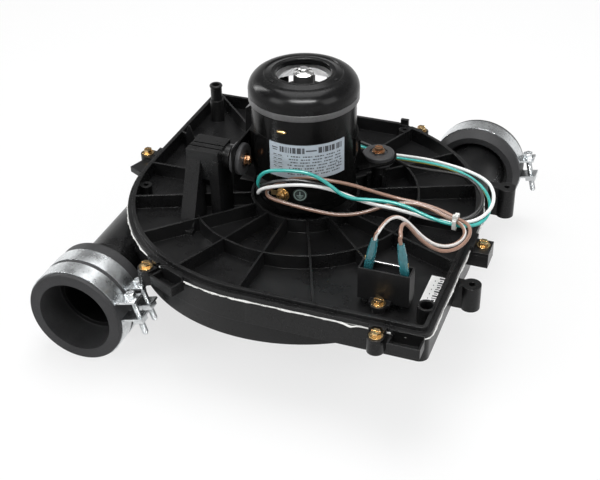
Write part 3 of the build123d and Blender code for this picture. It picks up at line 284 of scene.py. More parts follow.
green_route = [
    (-22.8, -41.5, 71.9), (-22.5, -45.8, 75.3), (-20.3, -47.2, 84.8), (-11.2, -50.3, 93.3),
    (2.9, -50.4, 96.3), (18.1, -45.7, 95.1), (32.2, -42.1, 87.9), (48.6, -40.6, 74.1),
    (71.2, -30.6, 71.9), (90.7, -26.0, 68.7), (110.8, -25.6, 61.2), (128.6, -23.6, 57.0),
    (142.0, -18.6, 55.4), (149.5, -9.6, 55.5), (151.8, 3.0, 57.2), (148.5, 17.0, 59.4),
    (139.7, 30.3, 61.5), (125.7, 41.0, 62.9), (108.3, 47.1, 63.8), (87.8, 51.6, 62.5),
    (66.2, 55.4, 59.6), (48.1, 60.7, 55.1), (30.2, 68.5, 56.1), (19.0, 73.0, 53.8), (12.0, 73.0, 53.8),
]
white_route = [
    (-22.8, -41.5, 68.1), (-22.2, -48.2, 68.1), (-17.3, -51.3, 76.4), (-4.3, -52.1, 81.8),
    (12.0, -49.4, 84.9), (28.5, -43.2, 82.8), (44.0, -36.5, 76.1), (61.7, -31.0, 67.4),
    (85.2, -25.5, 63.5), (110.2, -22.8, 58.0), (130.0, -20.2, 56.8), (143.2, -13.9, 57.2),
    (150.9, -3.6, 59.6), (153.2, 9.8, 61.9), (149.3, 24.5, 64.0), (141.1, 37.3, 64.1),
    (125.9, 46.5, 63.8), (105.2, 52.7, 63.4), (84.3, 58.0, 61.7), (64.1, 62.7, 58.1), (46.8, 68.1, 53.8),
    (30.4, 75.0, 55.0), (19.0, 76.5, 53.8), (12.0, 76.5, 53.8),
]
black_route = [
    (-19.8, -40.4, 72.2), (-20.6, -46.5, 73.8), (-14.8, -48.8, 80.0), (-2.3, -48.5, 85.0),
    (12.5, -44.2, 86.0), (29.0, -37.8, 81.1), (47.2, -31.4, 71.0), (68.0, -24.8, 61.7),
    (91.1, -20.4, 57.9), (112.5, -19.4, 56.1), (130.0, -17.2, 56.8), (140.7, -9.7, 58.5),
    (145.3, 1.0, 61.1), (143.7, 13.5, 63.7), (136.1, 25.6, 65.5), (123.0, 35.8, 65.8),
    (109.3, 43.9, 61.1), (86.2, 48.9, 57.1), (67.3, 55.2, 53.7), (48.2, 64.9, 56.8), (31.7, 71.7, 57.1),
    (19.0, 76.0, 57.4), (12.0, 76.0, 57.4),
]
brown_route = [
    (-16.8, -39.3, 71.9), (-14.6, -45.4, 71.9), (-11.2, -47.8, 76.0), (-2.3, -44.5, 81.8),
    (12.9, -38.6, 86.0), (30.3, -34.5, 84.0), (46.6, -27.4, 79.5), (62.9, -19.8, 71.9),
    (81.4, -13.3, 65.0), (98.6, -10.7, 62.9), (116.8, -12.9, 61.7), (131.0, -18.2, 59.8),
    (140.8, -23.4, 60.9), (145.4, -32.3, 59.8), (144.5, -43.7, 57.9), (139.7, -55.0, 57.4),
    (132.2, -64.5, 59.7), (123.8, -70.8, 66.4), (116.3, -75.5, 75.6), (111.6, -80.0, 85.3),
    (109.0, -85.9, 93.2), (108.3, -93.9, 97.2), (109.5, -102.0, 97.1), (111.2, -106.0, 95.0),
    (110.2, -105.9, 93.2), (111.3, -105.9, 88.6),
]
brown_white_route = [
    (-16.8, -39.3, 68.1), (-15.7, -45.4, 68.7), (-10.3, -50.6, 68.7), (6.4, -50.8, 66.3),
    (24.2, -47.6, 62.7), (42.7, -42.1, 58.6), (59.8, -34.7, 59.6), (76.0, -24.7, 64.6),
    (92.1, -16.5, 65.5), (106.9, -14.8, 63.4), (120.6, -18.0, 60.4), (131.0, -21.7, 59.8),
    (137.9, -27.4, 60.5), (142.0, -35.6, 59.3), (140.4, -45.7, 58.3), (134.4, -55.2, 59.0),
    (126.2, -62.5, 62.8), (118.0, -67.2, 70.3), (111.2, -71.1, 80.0), (106.3, -76.4, 89.2),
    (102.2, -83.5, 96.2), (98.9, -92.4, 99.7), (96.4, -101.1, 99.1), (94.3, -106.8, 95.1),
    (93.0, -105.9, 93.6), (92.1, -105.9, 88.5),
]
teal_green = (0.03, 0.42, 0.38)
yellow = (0.75, 0.6, 0.1)
brown = (0.3, 0.17, 0.12)
off_white = (0.8, 0.79, 0.77)
lead("green_lead", "wire_green", green_route, vinyl("green_vinyl", teal_green, yellow, 0.22, 0.05))
lead("white_lead", "wire_white", white_route, vinyl("white_vinyl", (0.85, 0.85, 0.84)))
lead("black_lead", "wire_black", black_route, vinyl("black_vinyl", (0.014, 0.014, 0.014)))
lead("brown_lead", "wire_brown", brown_route, vinyl("brown_vinyl", brown))
lead("brown_white_lead", "wire_brown_white", brown_white_route,
     vinyl("striped_vinyl", brown, off_white, 0.35, 0.2))


# ---------------------------------------------------------------------------
# Casing: two mouldings in black glass-filled polypropylene, lightly grained and
# with slightly rounded edges. The lower one holds the wheel and both outlets;
# the ribbed cover carries the motor and capacitor.
# ---------------------------------------------------------------------------
gloss_drift = 0.08


def spread(tree, low, high, bottom, top):
    """Node that stretches a range of values onto another."""
    stretch = tree.nodes.new("ShaderNodeMapRange")
    stretch.inputs["From Min"].default_value = low
    stretch.inputs["From Max"].default_value = high
    stretch.inputs["To Min"].default_value = bottom
    stretch.inputs["To Max"].default_value = top
    return stretch


def finish(name, colour, rough, metal=0.0, specular=0.5, grain=900.0, bump=0.08, specks=0.1,
           clouds=0.15, edge=0.0):
    """Surface with fine grain, slow clouds of tone and gloss, and rounded edges."""
    material = bpy.data.materials.new(name)
    material.use_nodes = True
    tree = material.node_tree
    links = tree.links
    shader = tree.nodes["Principled BSDF"]
    shader.inputs["Metallic"].default_value = metal
    shader.inputs["Specular IOR Level"].default_value = specular
    place = tree.nodes.new("ShaderNodeTexCoord")
    fine = tree.nodes.new("ShaderNodeTexNoise")
    fine.inputs["Scale"].default_value = grain
    fine.inputs["Detail"].default_value = 4.0
    broad = tree.nodes.new("ShaderNodeTexNoise")
    broad.inputs["Scale"].default_value = 32.0
    broad.inputs["Detail"].default_value = 5.0
    broad.inputs["Roughness"].default_value = 0.62
    links.new(place.outputs["Object"], fine.inputs["Vector"])
    links.new(place.outputs["Object"], broad.inputs["Vector"])
    tone = spread(tree, 0.3, 0.7, 1.0 - clouds, 1.0 + clouds)
    speck = spread(tree, 0.35, 0.65, 1.0 - specks, 1.0 + specks)
    both = tree.nodes.new("ShaderNodeMath")
    both.operation = "MULTIPLY"
    shade = tree.nodes.new("ShaderNodeMix")
    shade.data_type = "RGBA"
    shade.blend_type = "MULTIPLY"
    shade.inputs["Factor"].default_value = 1.0
    shade.inputs["A"].default_value = (*colour, 1.0)
    links.new(broad.outputs["Fac"], tone.inputs["Value"])
    links.new(fine.outputs["Fac"], speck.inputs["Value"])
    links.new(tone.outputs["Result"], both.inputs[0])
    links.new(speck.outputs["Result"], both.inputs[1])
    links.new(both.outputs[0], shade.inputs["B"])
    links.new(shade.outputs["Result"], shader.inputs["Base Color"])
    dull = spread(tree, 0.3, 0.7, max(rough - gloss_drift, 0.04), rough + gloss_drift)
    links.new(broad.outputs["Fac"], dull.inputs["Value"])
    links.new(dull.outputs["Result"], shader.inputs["Roughness"])
    relief = tree.nodes.new("ShaderNodeBump")
    relief.inputs["Strength"].default_value = bump
    relief.inputs["Distance"].default_value = 0.0003
    links.new(fine.outputs["Fac"], relief.inputs["Height"])
    links.new(relief.outputs["Normal"], shader.inputs["Normal"])
    if edge > 0.0:
        rounding = tree.nodes.new("ShaderNodeBevel")
        rounding.samples = 4
        rounding.inputs["Radius"].default_value = edge
        links.new(rounding.outputs["Normal"], relief.inputs["Normal"])
    return material


def dress(material, *names):
    """Give built parts their finish."""
    for name in names:
        slots = nodes[name].data.materials
        slots.clear()
        slots.append(material)


casing_plastic = finish("casing_plastic", (0.0075, 0.0075, 0.0078), 0.3, specular=0.24, grain=1500.0,
                        bump=0.22, specks=0.6, clouds=0.25, edge=0.0006)
dress(casing_plastic, "lower_housing", "cover")


# ---------------------------------------------------------------------------
# Pressure tap's lip: the flared end that keeps the rubber hose on the tube at
# the back left corner. Part of the cover moulding.
# ---------------------------------------------------------------------------
def solid(mesh, name, material, body="casing"):
    """Turn a finished bmesh into a piece that rides with its body."""
    bmesh.ops.recalc_face_normals(mesh, faces=mesh.faces)
    data = bpy.data.meshes.new(name)
    mesh.to_mesh(data)
    mesh.free()
    data.materials.append(material)
    piece = bpy.data.objects.new(name, data)
    bpy.context.scene.collection.objects.link(piece)
    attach(piece, body)
    return piece


def smooth(piece, angle=0.7):
    """Shade a piece smooth across soft edges only."""
    piece.data.shade_smooth()
    for edge in piece.data.edges:
        edge.use_edge_sharp = False
    mesh = bmesh.new()
    mesh.from_mesh(piece.data)
    for edge in mesh.edges:
        if len(edge.link_faces) == 2 and edge.calc_face_angle(0.0) > angle:
            edge.smooth = False
    mesh.to_mesh(piece.data)
    mesh.free()


def turned(profile, steps, start=0.0, sweep=2.0 * math.pi):
    """Lathe a closed outline of (radius, height) points, in millimetres, about the shaft."""
    mesh = bmesh.new()
    first = Matrix.Rotation(start, 3, "Z")
    verts = [mesh.verts.new(first @ Vector((r * 0.001, 0.0, z * 0.001))) for r, z in profile]
    face = mesh.faces.new(verts)
    outline = list(face.edges)
    if sweep == 2.0 * math.pi:
        bmesh.ops.delete(mesh, geom=[face], context="FACES_ONLY")
        bmesh.ops.spin(mesh, geom=verts + outline, cent=(0, 0, 0), axis=(0, 0, 1), dvec=(0, 0, 0),
                       angle=sweep, steps=steps, use_merge=True, use_duplicate=False)
    else:
        bmesh.ops.spin(mesh, geom=verts + outline + [face], cent=(0, 0, 0), axis=(0, 0, 1),
                       dvec=(0, 0, 0), angle=sweep, steps=steps, use_merge=False, use_duplicate=False)
    return mesh


lip_mesh = turned([(3.6, 69.4), (5.25, 69.4), (5.9, 70.4), (5.9, 71.2), (5.3, 72.1), (3.6, 72.1)], 32)
bmesh.ops.translate(lip_mesh, verts=lip_mesh.verts, vec=(-0.127, 0.108, 0.0))
tap_lip = solid(lip_mesh, "tap_lip", casing_plastic)
smooth(tap_lip)


# ---------------------------------------------------------------------------
# Sealant: white silicone laid in the joint between the two mouldings. It is
# squeezed out under the lip in an uneven bead when the screws are tightened.
# ---------------------------------------------------------------------------
sealant = finish("sealant", (0.78, 0.78, 0.76), 0.45, grain=500.0, bump=0.15, specks=0.04, clouds=0.06)
dress(sealant, "housing_seal")
lip_edge = 145.0
joint_height = 40.45
bead_radius = 0.00068


def joint_line():
    """Points along the outside of the joint, a few millimetres apart at most."""
    line = []
    for step in range(185):
        a = math.radians(step * 0.4)
        line.append((lip_edge * math.cos(a), lip_edge * math.sin(a)))
    line += [(x, 139.5) for x in range(38, -140, -2)]
    for step in range(7):
        a = math.radians(90 + step * 15)
        line.append((-139.0 + 6.0 * math.cos(a), 133.5 + 6.0 * math.sin(a)))
    line += [(-lip_edge, y) for y in range(132, 0, -2)]
    for step in range(226):
        a = math.radians(180 + step * 0.4)
        line.append((lip_edge * math.cos(a), lip_edge * math.sin(a)))
    line += [(x, -lip_edge) for x in range(2, 136, 2)]
    for step in range(10):
        a = math.radians(270 + step * 10)
        line.append((136.0 + 9.0 * math.cos(a), -136.0 + 9.0 * math.sin(a)))
    line += [(lip_edge, y) for y in range(-134, 0, 2)]
    return line


bead_line = joint_line()
bead_curve = bpy.data.curves.new("bead_path", "CURVE")
bead_curve.dimensions = "3D"
bead_curve.bevel_depth = bead_radius
bead_curve.bevel_resolution = 2
bead_path = bead_curve.splines.new("POLY")
bead_path.points.add(len(bead_line) - 1)
bead_path.use_cyclic_u = True
for number, (point, (x, y)) in enumerate(zip(bead_path.points, bead_line)):
    wave = math.sin(number * 0.31) + 0.6 * math.sin(number * 0.83 + 1.0) + 0.4 * math.sin(number * 1.9)
    out = 0.25 + 0.16 * wave
    far = math.hypot(x, y)
    point.co = ((x + x / far * out) * 0.001, (y + y / far * out) * 0.001,
                (joint_height + 0.12 * math.sin(number * 0.57)) * 0.001, 1.0)
    point.radius = 1.0 + 0.22 * wave
bead_holder = bpy.data.objects.new("bead_path", bead_curve)
bead_data = bpy.data.meshes.new_from_object(bead_holder)
bpy.data.objects.remove(bead_holder)
bead_mesh = bmesh.new()
bead_mesh.from_mesh(bead_data)
# a thicker lump at the front where the bead was started
lump_middle = Vector((0.088, -0.1452, 0.0405))
lump_reach = 0.006
for vert in bead_mesh.verts:
    near = (lump_middle - vert.co).length
    if near < lump_reach:
        vert.co.y -= 0.0010 * (1.0 - near / lump_reach)
        vert.co.z -= 0.0012 * (1.0 - near / lump_reach)
bead = solid(bead_mesh, "sealant_bead", sealant)
bead.data.shade_smooth()


# ---------------------------------------------------------------------------
# Casing screws: six thread-forming screws with slotted hex washer heads, in
# steel with a yellow zinc plating, driven through the cover into the ears.
# ---------------------------------------------------------------------------
yellow_zinc = finish("yellow_zinc", (0.58, 0.41, 0.21), 0.24, metal=1.0, grain=700.0, bump=0.08,
                     specks=0.12, clouds=0.28, edge=0.00025)
dress(yellow_zinc, "cover_screws")


# ---------------------------------------------------------------------------
# Inlet gasket and shaft seal: die-cut closed-cell foam under the inlet, and a
# rubber washer on the cover round the shaft.
# ---------------------------------------------------------------------------
foam = finish("gasket_foam", (0.05, 0.05, 0.052), 0.85, specular=0.2, grain=1100.0, bump=0.7, specks=0.3)
dress(foam, "inlet_gasket", "shaft_seal")


# ---------------------------------------------------------------------------
# Rubber sleeves: extruded dark rubber with a ground, slightly chalky surface,
# pushed over the casing's outlets and open for the vent pipe.
# ---------------------------------------------------------------------------
sleeve_rubber = finish("sleeve_rubber", (0.04, 0.04, 0.0415), 0.5, specular=0.15, grain=1600.0,
                       bump=0.3, specks=0.25, clouds=0.2, edge=0.0008)
dress(sleeve_rubber, "left_coupling", "right_coupling")


# ---------------------------------------------------------------------------
# Bands: rolled zinc-plated steel strip with bent lugs, one on the right sleeve
# and two on the left. Each has a slotted screw and a square nut.
# ---------------------------------------------------------------------------
band_steel = finish("band_steel", (0.63, 0.65, 0.66), 0.27, metal=1.0, grain=420.0, bump=0.05,
                    specks=0.1, clouds=0.22, edge=0.0003)
dress(band_steel, "left_clamp_bands", "right_clamp_band", "left_clamp_nuts", "right_clamp_nut")


screw_length = 0.033
crown_height = 0.0047


def band_screws(name, node, places):
    """Slotted hex flange screws; each place is (axis x, axis z, y, turn, distance, underside)."""
    mesh = bmesh.new()
    for x, z, y, turn_angle, reach, under in places:
        one = bmesh.new()
        thread = [(2.02, 0.0), (2.4, -0.25), (2.4, -0.45), (2.02, -0.7)]
        verts = [one.verts.new((r * 0.001, 0.0, h * 0.001)) for r, h in thread]
        edges = [one.edges.new(pair) for pair in zip(verts, verts[1:])]
        turns = 45
        steps = 16
        bmesh.ops.spin(one, geom=verts + edges, cent=(0, 0, 0), axis=(0, 0, 1),
                       dvec=(0, 0, -0.0007 / steps), angle=turns * 2 * math.pi, steps=turns * steps,
                       use_merge=False, use_duplicate=False)
        core = bmesh.ops.create_cone(one, cap_ends=True, segments=20, radius1=0.0017, radius2=0.0021,
                                     depth=screw_length)["verts"]
        bmesh.ops.translate(one, verts=core, vec=(0, 0, -screw_length / 2))
        flange = bmesh.ops.create_cone(one, cap_ends=True, segments=36, radius1=0.0055,
                                       radius2=0.0052, depth=0.0011)["verts"]
        bmesh.ops.translate(one, verts=flange, vec=(0, 0, 0.00055))
        head = bmesh.ops.create_cone(one, cap_ends=True, segments=6, radius1=0.0044, radius2=0.0044,
                                     depth=0.0036)["verts"]
        bmesh.ops.translate(one, verts=head, vec=(0, 0, 0.0029))
        top = [f for v in head for f in v.link_faces
               if f.normal.z > 0.9 and f.calc_center_median().z > 0.004]
        top = list(dict.fromkeys(top))
        bmesh.ops.inset_region(one, faces=top, thickness=0.0005, depth=0.0003)
        for side in (-0.0006, 0.0006):
            crown = [f for f in one.faces if f.normal.z > 0.9 and f.calc_center_median().z > crown_height]
            geometry = crown + [e for f in crown for e in f.edges] + [v for f in crown for v in f.verts]
            bmesh.ops.bisect_plane(one, geom=list(dict.fromkeys(geometry)), plane_co=(0, side, 0),
                                   plane_no=(0, 1, 0), dist=1e-7)
        slot_faces = [f for f in one.faces if f.normal.z > 0.9 and f.calc_center_median().z > crown_height
                      and abs(f.calc_center_median().y) < 0.0004]
        sunk = bmesh.ops.extrude_face_region(one, geom=slot_faces)
        bmesh.ops.delete(one, geom=slot_faces, context="FACES_ONLY")
        bmesh.ops.translate(one, verts=[g for g in sunk["geom"] if isinstance(g, bmesh.types.BMVert)],
                            vec=(0, 0, -0.0015))
        bmesh.ops.recalc_face_normals(one, faces=one.faces)
        place = (Matrix.Translation((x * 0.001, y * 0.001, z * 0.001))
                 @ Matrix.Rotation(math.radians(-turn_angle), 4, "Y")
                 @ Matrix.Translation((reach * 0.001, 0.0, under * 0.001)))
        bmesh.ops.transform(one, matrix=place, verts=one.verts)
        holder = bpy.data.meshes.new("one_screw")
        one.to_mesh(holder)
        one.free()
        mesh.from_mesh(holder)
        bpy.data.meshes.remove(holder)
    piece = solid(mesh, name, band_steel)
    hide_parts(node)
    smooth(piece, 0.6)


band_screws("left_band_screws", "left_clamp_screws",
            [(-132.3, -1.7, -147.85, 16.0, 51.5, 9.6), (-132.3, -1.7, -129.55, 17.5, 49.5, 8.6)])
band_screws("right_band_screw", "right_clamp_screw", [(111.0, 10.6, 149.65, 12.5, 46.5, 5.1)])


# ---------------------------------------------------------------------------
# Wheel: moulded black glass-filled nylon on a plated steel hub with one set
# screw; balanced after moulding.
# ---------------------------------------------------------------------------
dress(finish("wheel_plastic", (0.014, 0.014, 0.014), 0.42, specular=0.4, grain=1100.0, bump=0.2,
             specks=0.3), "impeller")
clear_zinc = finish("clear_zinc", (0.6, 0.6, 0.6), 0.28, metal=1.0, grain=800.0, bump=0.06,
                    specks=0.1, clouds=0.2, edge=0.0002)
dress(clear_zinc, "impeller_hub", "hub_set_screw", "motor_shaft")


# ---------------------------------------------------------------------------
# Motor shell: deep-drawn steel can and pressed lower bell, both dipped in black
# enamel; the wires leave through a moulded rubber bushing.
# ---------------------------------------------------------------------------
enamel = finish("black_enamel", (0.0045, 0.0045, 0.0045), 0.2, specular=0.1, grain=600.0, bump=0.07,
                specks=0.2, clouds=0.2, edge=0.0005)
dress(enamel, "motor_can", "lower_end_bell")
dress(finish("bushing_rubber", (0.02, 0.02, 0.021), 0.5, specular=0.35, grain=1400.0, bump=0.25,
             specks=0.2, edge=0.0005), "wire_bushing")


# ---------------------------------------------------------------------------
# Inside the motor: varnished laminations, enamelled copper coils laced and
# dipped, a cast rotor with aluminium end rings, and two plain bearings.
# ---------------------------------------------------------------------------
dress(finish("varnished_laminations", (0.035, 0.03, 0.026), 0.45, metal=0.4, grain=2500.0, bump=0.3,
             specks=0.3), "stator_core")
dress(finish("coil_varnish", (0.02, 0.009, 0.005), 0.35, metal=0.2, grain=1800.0, bump=0.8, specks=0.5),
      "windings")
dress(finish("rotor_alloy", (0.3, 0.3, 0.3), 0.45, metal=0.9, grain=500.0, bump=0.2), "rotor_core")
dress(finish("bearing_steel", (0.45, 0.45, 0.46), 0.25, metal=1.0, grain=600.0, bump=0.05),
      "lower_bearing", "upper_bearing")


# ---------------------------------------------------------------------------
# Motor top: a pressed spider on the can carries the upper bearing; thin steel
# pillars on it hold a bare ring, painted grey, under the dome.
# ---------------------------------------------------------------------------
dress(finish("spider_paint", (0.03, 0.03, 0.03), 0.4, grain=600.0, bump=0.1, edge=0.0003),
      "upper_spider", "dome_struts", "through_bolts")
dress(finish("ring_paint", (0.085, 0.085, 0.086), 0.36, metal=0.3, specular=0.5, grain=700.0,
             bump=0.06, clouds=0.1, edge=0.0003), "dome_ring")


# ---------------------------------------------------------------------------
# Upper shroud: a curled sheet in black enamel that closes the front and sides
# between the can and the ring, and leaves the back open for cooling air. A
# white sheet inside the back of the dome is painted light, in place of the
# bright surround seen through there.
# ---------------------------------------------------------------------------
shroud_mesh = turned([(40.9, 114.1), (41.35, 114.1), (41.35, 133.9), (40.9, 133.9)], 72,
                     start=math.radians(128.0), sweep=math.radians(284.0))
upper_shroud = solid(shroud_mesh, "upper_shroud", enamel)
smooth(upper_shroud)
eyelet_mesh = bmesh.new()
eyelet_part = bmesh.ops.create_cone(eyelet_mesh, cap_ends=True, segments=24, radius1=0.0031,
                                    radius2=0.0022, depth=0.0016)["verts"]
bmesh.ops.rotate(eyelet_mesh, verts=eyelet_part, cent=(0, 0, 0),
                 matrix=Matrix.Rotation(math.radians(90.0), 3, "Y"))
bmesh.ops.scale(eyelet_mesh, verts=eyelet_part, vec=(1.0, 1.4, 0.55))
bmesh.ops.translate(eyelet_mesh, verts=eyelet_part, vec=(0.0420, 0.0, 0.1235))
bmesh.ops.rotate(eyelet_mesh, verts=eyelet_part, cent=(0, 0, 0),
                 matrix=Matrix.Rotation(math.radians(-94.0), 3, "Z"))
eyelet_brass = finish("eyelet_brass", (0.7, 0.48, 0.22), 0.3, metal=1.0, grain=500.0, bump=0.1)
eyelet = solid(eyelet_mesh, "shroud_eyelet", eyelet_brass)
eyelet.data.shade_smooth()
# painted light: this white sheet stands in for the bright surround seen through the back of the dome
painted_light_white = finish("painted_light_liner", (0.9, 0.9, 0.9), 0.4, grain=400.0, bump=0.03,
                         specks=0.03, clouds=0.04)
painted_light_mesh = turned([(37.7, 134.1), (38.25, 134.1), (38.25, 142.8), (37.7, 142.8)], 60,
                        start=math.radians(12.0), sweep=math.radians(156.0))
painted_light_sheet = solid(painted_light_mesh, "painted_light_backing", painted_light_white)
smooth(painted_light_sheet)


# ---------------------------------------------------------------------------
# Dome: spun steel cap in semi-gloss black enamel with a stepped ring and three
# riveted spots round its opening.
# ---------------------------------------------------------------------------
dome_enamel = finish("dome_enamel", (0.006, 0.006, 0.0062), 0.24, specular=0.13, grain=500.0, bump=0.05,
                     specks=0.15, clouds=0.12, edge=0.0004)
dress(dome_enamel, "dome_cap")
spots = bmesh.new()
rivet_circle = 0.0281
rivet_height = 0.1549
for spot_angle in (112.0, 232.0, 352.0):
    spot = bmesh.ops.create_uvsphere(spots, u_segments=20, v_segments=10, radius=0.0015)["verts"]
    bmesh.ops.scale(spots, verts=spot, vec=(1.0, 1.0, 0.45))
    a = math.radians(spot_angle)
    bmesh.ops.translate(spots, verts=spot, vec=(rivet_circle * math.cos(a), rivet_circle * math.sin(a),
                                                 rivet_height))
dome_spots = solid(spots, "dome_rivets", dome_enamel)
dome_spots.data.shade_smooth()
opening_lip = turned([(21.7, 155.1), (22.0, 155.7), (22.7, 156.1), (23.4, 156.1), (23.6, 155.6),
                      (22.6, 155.2), (22.2, 154.4), (21.8, 154.4)], 96)
rolled_lip = solid(opening_lip, "dome_rolled_lip", dome_enamel)
smooth(rolled_lip)


# ---------------------------------------------------------------------------
# Cooling fan and push nut: moulded black disc fan on the shaft end, held by a
# bright spring-steel star nut with bent teeth.
# ---------------------------------------------------------------------------
dress(finish("fan_plastic", (0.02, 0.02, 0.02), 0.4, specular=0.4, grain=1000.0, bump=0.15, specks=0.2),
      "cooling_fan")
star_steel = finish("star_nut_steel", (0.8, 0.8, 0.79), 0.2, metal=1.0, grain=500.0, bump=0.05)
star = bmesh.new()
bore_radius = 0.0041
collar_radius = 0.006
star_radius = 0.008
teeth = 8
bmesh.ops.create_circle(star, cap_ends=False, segments=72, radius=bore_radius)
middle = bmesh.ops.extrude_edge_only(star, edges=list(star.edges))["geom"]
middle_edges = [g for g in middle if isinstance(g, bmesh.types.BMEdge)]
for vert in [g for g in middle if isinstance(g, bmesh.types.BMVert)]:
    vert.co *= collar_radius / bore_radius
    vert.co.z = -0.0012
outer = bmesh.ops.extrude_edge_only(star, edges=middle_edges)["geom"]
for vert in [g for g in outer if isinstance(g, bmesh.types.BMVert)]:
    vert.co.x *= star_radius / collar_radius
    vert.co.y *= star_radius / collar_radius
    vert.co.z = -0.0018
for face in list(star.faces):
    middle_point = face.calc_center_median()
    turn_share = math.degrees(math.atan2(middle_point.y, middle_point.x)) * teeth / 360.0 % 1.0
    if middle_point.to_2d().length < collar_radius + 0.0001 and turn_share < 0.16:
        star.faces.remove(face)
bmesh.ops.translate(star, verts=star.verts, vec=(0.0, 0.0, 0.1556))
bmesh.ops.solidify(star, geom=list(star.faces), thickness=0.0005)
push_nut = solid(star, "star_push_nut", star_steel, body="rotor")
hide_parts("push_nut")
smooth(push_nut)


# ---------------------------------------------------------------------------
# Rating plate: printed polyester film stuck on the front of the can. The print
# is plain bars and dashes inside thin frame lines.
# ---------------------------------------------------------------------------
film = finish("rating_film", (0.46, 0.52, 0.58), 0.34, specular=0.5, grain=300.0, bump=0.02, specks=0.04,
              clouds=0.05)
dress(film, "motor_label")
ink = finish("label_ink", (0.05, 0.055, 0.065), 0.5, grain=2000.0, bump=0.02, specks=0.3)
plate_radius = 41.66


def curved_mark(mesh, turn0, turn1, low, high, radius=plate_radius):
    """Thin printed mark bent round the can, between two angles and two heights."""
    across = max(1, int(abs(turn1 - turn0) / 2.0) + 1)
    mark = bmesh.ops.create_grid(mesh, x_segments=across, y_segments=1, size=0.5)["verts"]
    for vert in mark:
        angle = math.radians(turn0 + (vert.co.x + 0.5) * (turn1 - turn0))
        height = low + (vert.co.y + 0.5) * (high - low)
        vert.co = Vector((radius * math.cos(angle), radius * math.sin(angle), height)) * 0.001


print_mesh = bmesh.new()
print_end = -28.0
for start, wide in (
        (-96.5, 1.6), (-94.2, 2.4), (-90.6, 0.9), (-88.8, 0.8), (-87.0, 0.8), (-85.0, 1.6), (-82.4, 3.6),
        (-77.6, 4.4), (-72.2, 0.9), (-71.0, 1.6), (-54.6, 4.0), (-49.4, 1.0), (-47.5, 4.2), (-42.3, 2.0),
        (-39.4, 3.6), (-34.0, 0.9), (-32.4, 2.2), (-29.4, 1.0), (-27.6, 1.2)):
    curved_mark(print_mesh, start, start + wide, 106.4, 111.4)
curved_mark(print_mesh, -106.0, -99.0, 109.0, 109.9)
curved_mark(print_mesh, -105.2, -99.6, 107.2, 108.0)
curved_mark(print_mesh, -68.0, -56.5, 108.2, 109.4)
for line, height in enumerate((103.2, 100.6, 98.0, 95.4, 92.8, 90.2, 87.6)):
    spot = -88.0 + 1.7 * (line % 3)
    number = 0
    while spot < print_end:
        wide = 1.1 + 1.7 * ((line * 7 + number * 5) % 4) / 3.0
        curved_mark(print_mesh, spot, spot + wide, height, height + 1.0)
        spot += wide + (0.7 if (number + line) % 4 else 2.9)
        number += 1
for height in (102.0, 98.6, 95.2, 91.8):
    curved_mark(print_mesh, -105.5, -92.5, height - 0.12, height + 0.12)
    curved_mark(print_mesh, -104.5, -101.0, height + 1.0, height + 1.8)
    curved_mark(print_mesh, -98.8, -94.0, height + 1.0, height + 1.8)
curved_mark(print_mesh, -100.3, -100.05, 91.8, 104.4)
for start in (-34.5, -30.7):
    curved_mark(print_mesh, start, start + 0.5, 91.2, 94.6)
for low in (91.0, 94.4):
    curved_mark(print_mesh, -34.5, -30.2, low, low + 0.4)
plate_print = solid(print_mesh, "rating_plate_print", ink)
plate_print.data.shade_smooth()


# ---------------------------------------------------------------------------
# Earth screw: yellow-zinc screw with a brass ring terminal on the can, and a
# round sticker beside it with a plain earth sign, drawn flat and then bent round.
# ---------------------------------------------------------------------------
dress(yellow_zinc, "ground_screw")
brass = finish("brass", (0.72, 0.52, 0.26), 0.25, metal=1.0, grain=500.0, bump=0.05, edge=0.0002)
dress(brass, "ground_terminal", "capacitor_terminals")
dress(finish("sticker_film", (0.02, 0.03, 0.028), 0.45, grain=700.0, bump=0.05), "ground_disc")
sign_ink = finish("sign_ink", (0.3, 0.4, 0.37), 0.5, grain=1500.0, bump=0.02)
sign = bmesh.new()
sign_turn = math.radians(284.9)
sticker_radius = 41.65
sign_radius = 41.68
sign_height = 69.5


def on_sticker(u, v):
    """Point on the sticker from its middle, u round the can and v upwards, in millimetres."""
    angle = sign_turn + u / sticker_radius
    return Vector((sign_radius * math.cos(angle), sign_radius * math.sin(angle), sign_height + v)) * 0.001


bmesh.ops.create_circle(sign, cap_ends=False, segments=48, radius=4.9)
inner_part = bmesh.ops.extrude_edge_only(sign, edges=list(sign.edges))["geom"]
for vert in [g for g in inner_part if isinstance(g, bmesh.types.BMVert)]:
    vert.co *= 4.2 / 4.9
for u0, u1, v0, v1 in ((-0.4, 0.4, -0.4, 3.2), (-2.6, 2.6, -0.9, -0.2), (-1.8, 1.8, -2.0, -1.4),
                       (-0.9, 0.9, -3.0, -2.5)):
    stroke = bmesh.ops.create_grid(sign, x_segments=3, y_segments=1, size=0.5)["verts"]
    bmesh.ops.scale(sign, verts=stroke, vec=(u1 - u0, v1 - v0, 1.0))
    bmesh.ops.translate(sign, verts=stroke, vec=((u0 + u1) / 2, (v0 + v1) / 2, 0.0))
for vert in sign.verts:
    vert.co = on_sticker(vert.co.x, vert.co.y)
solid(sign, "earth_sign", sign_ink)


# ---------------------------------------------------------------------------
# Motor bracket and rubber mounts: pressed steel in black enamel, three grey
# rubber rings with steel sleeves, each held by a washer screw.
# ---------------------------------------------------------------------------
dress(enamel, "motor_bracket")
dress(finish("mount_rubber", (0.05, 0.05, 0.052), 0.5, specular=0.2, grain=1400.0, bump=0.2, specks=0.15,
             edge=0.0008), "mount_grommets")
dress(clear_zinc, "mount_sleeves")
dress(finish("copper_zinc", (0.72, 0.42, 0.24), 0.22, metal=1.0, grain=700.0, bump=0.07, specks=0.1,
             clouds=0.25, edge=0.00025), "mount_screws")


